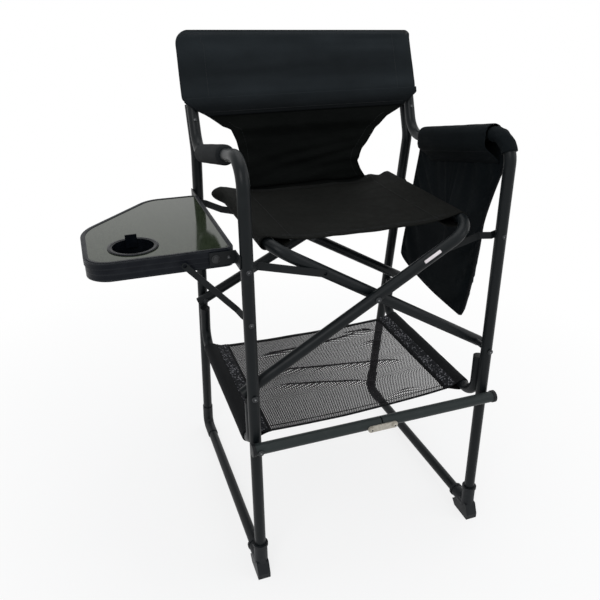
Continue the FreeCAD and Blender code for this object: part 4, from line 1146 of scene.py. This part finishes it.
def smooth_loop(corners, count):
    """Evenly spread points on a closed curve through the corners."""
    number = len(corners)
    dense = []
    for k in range(number):
        p0, p1, p2, p3 = (corners[(k + n) % number] for n in (-1, 0, 1, 2))
        for t in spread(0, 1, 24)[:-1]:
            dense.append(0.5 * ((2 * p1) + (p2 - p0) * t + (2 * p0 - 5 * p1 + 4 * p2 - p3) * t * t
                                + (3 * p1 - p0 - 3 * p2 + p3) * t * t * t))
    lengths = [0.0]
    for k in range(len(dense)):
        lengths.append(lengths[-1] + (dense[(k + 1) % len(dense)] - dense[k]).length)
    even = []
    for wanted in spread(0, lengths[-1], count)[:-1]:
        j = max(i for i in range(len(dense)) if lengths[i] <= wanted)
        share = (wanted - lengths[j]) / max(lengths[j + 1] - lengths[j], 1e-9)
        even.append(dense[j].lerp(dense[(j + 1) % len(dense)], share))
    return even


def bag():
    """Soft pouch: a flat inner wall, a fuller outer wall and a sewn edge between them."""
    edge = smooth_loop(BAG_EDGE, 120)
    centre = sum(edge, Vector((0, 0))) / len(edge)
    shares = spread(0, 1, BAG_RINGS)
    walls = [(share, True) for share in shares] + [(share, False) for share in shares[-2::-1]]
    rows = []
    for share, inner in walls:
        shrink = 0.03 + 0.97 * sin(pi / 2 * share)
        full = sqrt(max(0.0, 1 - shrink ** 6))
        row = []
        for y, z in (centre.lerp(point, shrink) for point in edge):
            if inner:
                x = BAG_SEAM_X - 0.0035 * full
                x += 0.0022 * ripple((y * 2.0, z * 0.5, 0), 0.055, 1) * full
            else:
                x = BAG_SEAM_X + (0.007 + 0.016 * ease(0.92, 0.60, z)) * full
                x += 0.0030 * ripple((y * 1.6, z * 0.8, 0), 0.06, 5) * full
            row.append(at(clamp(x, BAG_IN, BAG_IN + BAG_DEPTH), y, z))
        rows.append(row)
    piece = loft_piece("bag_pouch", rows, BAG_CANVAS, "right_frame")
    seam = [at(0, y, z).yz for y, z in edge]
    drape(piece, rows, lambda p: 1.0 if p.z > 0.890 or min((p.yz - s).length for s in seam) < 0.009
          else 0.0, frames=16, gravity=0.8, cap=0.006, mass=0.35, shrink=-0.035, bend=0.25)
    for vertex in piece.data.vertices:
        out = vertex.co.x - CHAIR_X
        vertex.co.x += clamp(out, BAG_IN - 0.003, BAG_IN + BAG_DEPTH) - out
    cloth_place_from_side(piece)
    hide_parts("storage_bag")
    piping("bag_piping", [at(BAG_SEAM_X, y, z) for y, z in edge], 0.0022)


def cloth_place_from_side(piece):
    """Lay the weave flat on the side of the chair."""
    layer = piece.data.uv_layers["cloth"]
    for loop in piece.data.loops:
        point = piece.data.vertices[loop.vertex_index].co
        layer.data[loop.index].uv = (point.y, point.z + point.x)


def piping(name, path, radius):
    """Round cord sewn along an edge."""
    count = len(path)
    rows = []
    for k in range(count + 1):
        run = (path[(k + 1) % count] - path[(k - 1) % count]).normalized()
        up = run.cross(RIGHT).normalized()
        rows.append([path[k % count] + swing(RIGHT, up, angle) * radius for angle in circle(8)])
    skin(name, rows, TAPE, "right_frame", around=True)


def bag_sleeve():
    """The bag's top wraps over the right arm grip and is sewn down inside."""
    radius = GRIP_RADIUS + 0.0009
    rows = []
    for y in spread(TOP_SLEEVE_FRONT, TOP_SLEEVE_REAR, 50):
        centre = at(SIDE, y, arm_z(y))
        row = []  # up the inner side, over the grip, and down the outer side
        for drop in spread(0.062, 0, 7):
            row.append(centre + Vector((mix(-radius, 0.0205, ease(0.020, 0.062, drop)), 0, -drop)))
        for k in range(1, 21):
            angle = pi - pi * k / 20
            loose = radius + 0.0007 * ripple((k * 0.012, y, 0), 0.035, 12)
            row.append(centre + swing(RIGHT, ARM_UP, angle) * loose)
        for share in spread(0, 1, 7)[1:]:
            row.append(centre + Vector((radius + 0.0035 * share, 0, -0.050 * share)))
        rows.append(row)
    piece = sheet_piece("bag_top_sleeve", rows, 0.0016, BAG_CANVAS, "right_frame")
    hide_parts("bag_straps")
    for number, (column, lift) in enumerate(((3, -0.0012), (-4, 0.0012))):
        line = lifted([row[column] for row in rows], x=lift)
        stitched_line(f"bag_sleeve_stitches_{number}", line, "right_frame")


ARM_BEND = 0.050


def bag_cuff():
    """The sleeve's cloth runs on round the arm's front bend as a loose cuff."""
    middle = at(SIDE, -0.1814, 0.9038)

    def spot(share, angle):
        away = swing(REAR, UP, radians(mix(72, 152, share)))
        centre = middle + away * ARM_BEND
        push = swing(RIGHT, away, angle)
        loose = 0.0151 + 0.0005 * ease(0.80, 0.97, share)
        lump = 0.0016 * ripple(centre + push * 0.02, 0.016, 21) * ease(0.0, 0.2, share)
        return centre + push * (loose + lump)

    rows = surface(spread(0, 1, 32), spread(-pi / 2, 3 * pi / 2, 36), spot)
    piece = sheet_piece("bag_sleeve_cuff", rows, 0.0012, BAG_CANVAS, "right_frame")


def bag_flap():
    """Flap over the outer wall, with a stitched hem and a press stud."""

    def spot(share, across):
        y = mix(FLAP_FRONT, FLAP_REAR, across)
        corner = 0.035 * (1 - ease(0, 0.16, min(across, 1 - across))) * share
        z = mix(arm_z(y) - 0.042, FLAP_LOW, share) + corner
        bulge = BAG_IN + 0.0165 + 0.0155 * ease(0.0, 0.35, share)
        bulge += 0.0014 * ripple((y, z, 0), 0.05, 14)
        return at(min(bulge, BAG_IN + BAG_DEPTH + 0.0025), y, z)

    rows = surface(spread(0, 1, 28), spread(0, 1, 44), spot)
    piece = sheet_piece("bag_flap_cloth", rows, 0.0018, BAG_CANVAS, "right_frame")
    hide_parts("bag_flap")
    stitched_line("bag_flap_stitches", lifted(rows[-4], x=0.0012), "right_frame")
    rivet_head("bag_flap_stud", at(BAG_IN + 0.0328, 0.0, 0.806), RIGHT, "right_frame", 0.0055)


def bag_corner_stud():
    """Stud that holds the rear of the bag's sleeve below the arm."""
    rivet_head("bag_sleeve_stud", at(BAG_IN - 0.0005, 0.156, 0.862), -RIGHT, "right_frame",
               0.0048, 0.0020)


# ---- table details

def table_details():
    """Washers and hexagonal heads on the table's bolts, a rivet beside each, beads on the cup."""
    low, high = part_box("table_bolts")
    washer = [(0.0082, -0.0002), (0.0082, 0.0008), (0.0074, 0.0012), (0.0040, 0.0012)]
    head = [(0.0064, 0.0006), (0.0064, 0.0030), (0.0056, 0.0036), (0.0020, 0.0036)]
    for name, y, axis in (("front", low.y + 0.0040, -REAR), ("rear", high.y - 0.0040, REAR)):
        place = Vector(((low.x + high.x) / 2, y, (low.z + high.z) / 2))
        turned_piece(f"{name}_bolt_washer", washer, place, axis, BOLT_BLACK, "left_frame")
        bolt = turned_piece(f"{name}_bolt_head", head, place, axis, BOLT_BLACK, "left_frame",
                            steps=6)
        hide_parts("table_bolts")
        rivet_head(f"{name}_bracket_rivet", place + Vector((0.0245, 0, 0.001)), axis,
                   "left_frame", 0.0038, 0.0016)
    low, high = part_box("cup_holder")
    centre = Vector(((low.x + high.x) / 2, (low.y + high.y) / 2, high.z))
    bead = [(0.0470, -0.0026), (0.0474, -0.0012), (0.0462, 0.0002), (0.0440, 0.0006),
            (0.0405, 0.0002), (0.0388, -0.0008)]
    add_piece("cup_bead", turned_points(bead, centre, UP, 72), quads(len(bead), 72, around=True),
              CUP_PLASTIC, "side_table")
    floor_ring = [(0.014, 0.0), (0.014, 0.0010), (0.0128, 0.0014), (0.0116, 0.0010), (0.0112, 0.0)]
    turned_piece("cup_floor_ring", floor_ring, Vector((centre.x, centre.y, low.z + 0.0026)), UP,
                 CUP_PLASTIC, "side_table")


def table_lip():
    """Narrow lip of the edging that laps over the board's border."""
    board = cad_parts["table_top"]
    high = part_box("table_top")[1].z
    spots = [board.matrix_world @ vertex.co for vertex in board.data.vertices]
    spots = [spot.to_2d() for spot in spots if spot.z > high - 0.0004]
    border = [spots[k] for k in convex_hull_2d(spots)]
    if sum(a.x * b.y - b.x * a.y for a, b in zip(border, border[1:] + border[:1])) < 0:
        border.reverse()
    loops = []
    for inset, height in ((-0.0010, -0.0004), (-0.0010, 0.0010), (0.0036, 0.0012),
                          (0.0046, 0.0006), (0.0048, -0.0004)):
        loop = []
        for k, corner in enumerate(border):
            before = (corner - border[k - 1]).normalized()
            after = (border[(k + 1) % len(border)] - corner).normalized()
            inward = Vector((-(before.y + after.y), before.x + after.x)).normalized()
            reach = inset / max(0.5, inward.dot(Vector((-after.y, after.x))))
            loop.append((corner + inward * reach).to_3d() + UP * (high + height))
        loops.append(loop)
    lip = loft_piece("table_edge_lip", loops, RIM_PLASTIC, "side_table",
                     caps=False)
    sharp_edges(lip, 50)


# ---- room

FLOOR_HALF = 12.0
LENS_MM = 38.18
SENSOR_MM = 36.0
CAMERA_DOWN = 26.31
CAMERA_TURN = -19.51
CAMERA_PLACE = (-0.5438, -1.2840, 1.2267)
LAMPS = (  # name, place, watts, width
    ("key", (-1.9, -2.6, 2.9), 38.0, 1.6),
    ("fill", (2.6, -1.6, 1.9), 16.0, 1.8),
    ("top", (0.2, 0.3, 3.2), 22.0, 2.0),
)


def pale_floor():
    """A floor that takes shadow near the chair and is plain white further out."""
    finish = Finish("pale_floor", roughness=0.9, specular=0.1)
    finish.set(base_color=(0.86, 0.86, 0.86))
    glow = finish.node("ShaderNodeEmission", None, {"Strength": 1.0})
    reach = finish.node("ShaderNodeVectorMath", {"operation": "LENGTH"}, {0: finish.place()},
                        output=1)
    fade = finish.range(reach, 0.45, 1.5, 0.80, 1.0)
    blend = finish.node("ShaderNodeMixShader", None, {
        0: finish.plainly_seen() * fade, 1: Socket(finish, finish.shader.outputs[0]), 2: glow})
    finish.put(finish.output.inputs["Surface"], blend)
    mesh = bpy.data.meshes.new("floor")
    mesh.from_pydata([(x * FLOOR_HALF, y * FLOOR_HALF, 0)
                      for x, y in ((-1, -1), (1, -1), (1, 1), (-1, 1))], [], [(0, 1, 2, 3)])
    mesh.materials.append(finish.material)
    floor = bpy.data.objects.new("floor", mesh)
    bpy.context.scene.collection.objects.link(floor)


def room():
    """Pale floor, even light and the camera."""
    pale_floor()
    scene = bpy.context.scene
    world = bpy.data.worlds.new("studio")
    scene.world = world
    world.use_nodes = True
    nodes = Nodes(world.node_tree)
    soft, white = (nodes.node("ShaderNodeBackground", None, {"Color": tint, "Strength": strength})
                   for tint, strength in (((0.93, 0.96, 1.0), 0.55), ((1.0, 1.0, 1.0), 1.0)))
    blend = nodes.node("ShaderNodeMixShader", None, {0: nodes.plainly_seen(), 1: soft, 2: white})
    nodes.node("ShaderNodeOutputWorld", None, {"Surface": blend}, output=None)

    for name, place, power, width in LAMPS:
        data = bpy.data.lights.new(name, "AREA")
        data.energy = power
        data.size = width
        lamp = bpy.data.objects.new(name, data)
        lamp.location = at(*place)
        aim = at(0, 0, 0.6) - lamp.location
        lamp.rotation_euler = aim.to_track_quat("-Z", "Y").to_euler()
        scene.collection.objects.link(lamp)

    lens = bpy.data.cameras.new("camera")
    lens.lens = LENS_MM
    lens.sensor_width = SENSOR_MM
    camera = bpy.data.objects.new("camera", lens)
    camera.location = at(*CAMERA_PLACE)
    camera.rotation_euler = Euler((radians(90 - CAMERA_DOWN), 0, radians(CAMERA_TURN)))
    scene.collection.objects.link(camera)
    scene.camera = camera
    scene.view_settings.view_transform = "Standard"


room()
dress_frame()
rivets()
pin_eyes()
plate_rivets()
scissor_label()
arm_grip("left", -1, 0.240)
arm_grip("right", 1, 0.218)
back_band()
back_panel()
seat()
mesh_tray()
bag()
bag_sleeve()
bag_cuff()
bag_flap()
bag_corner_stud()
table_details()
table_lip()
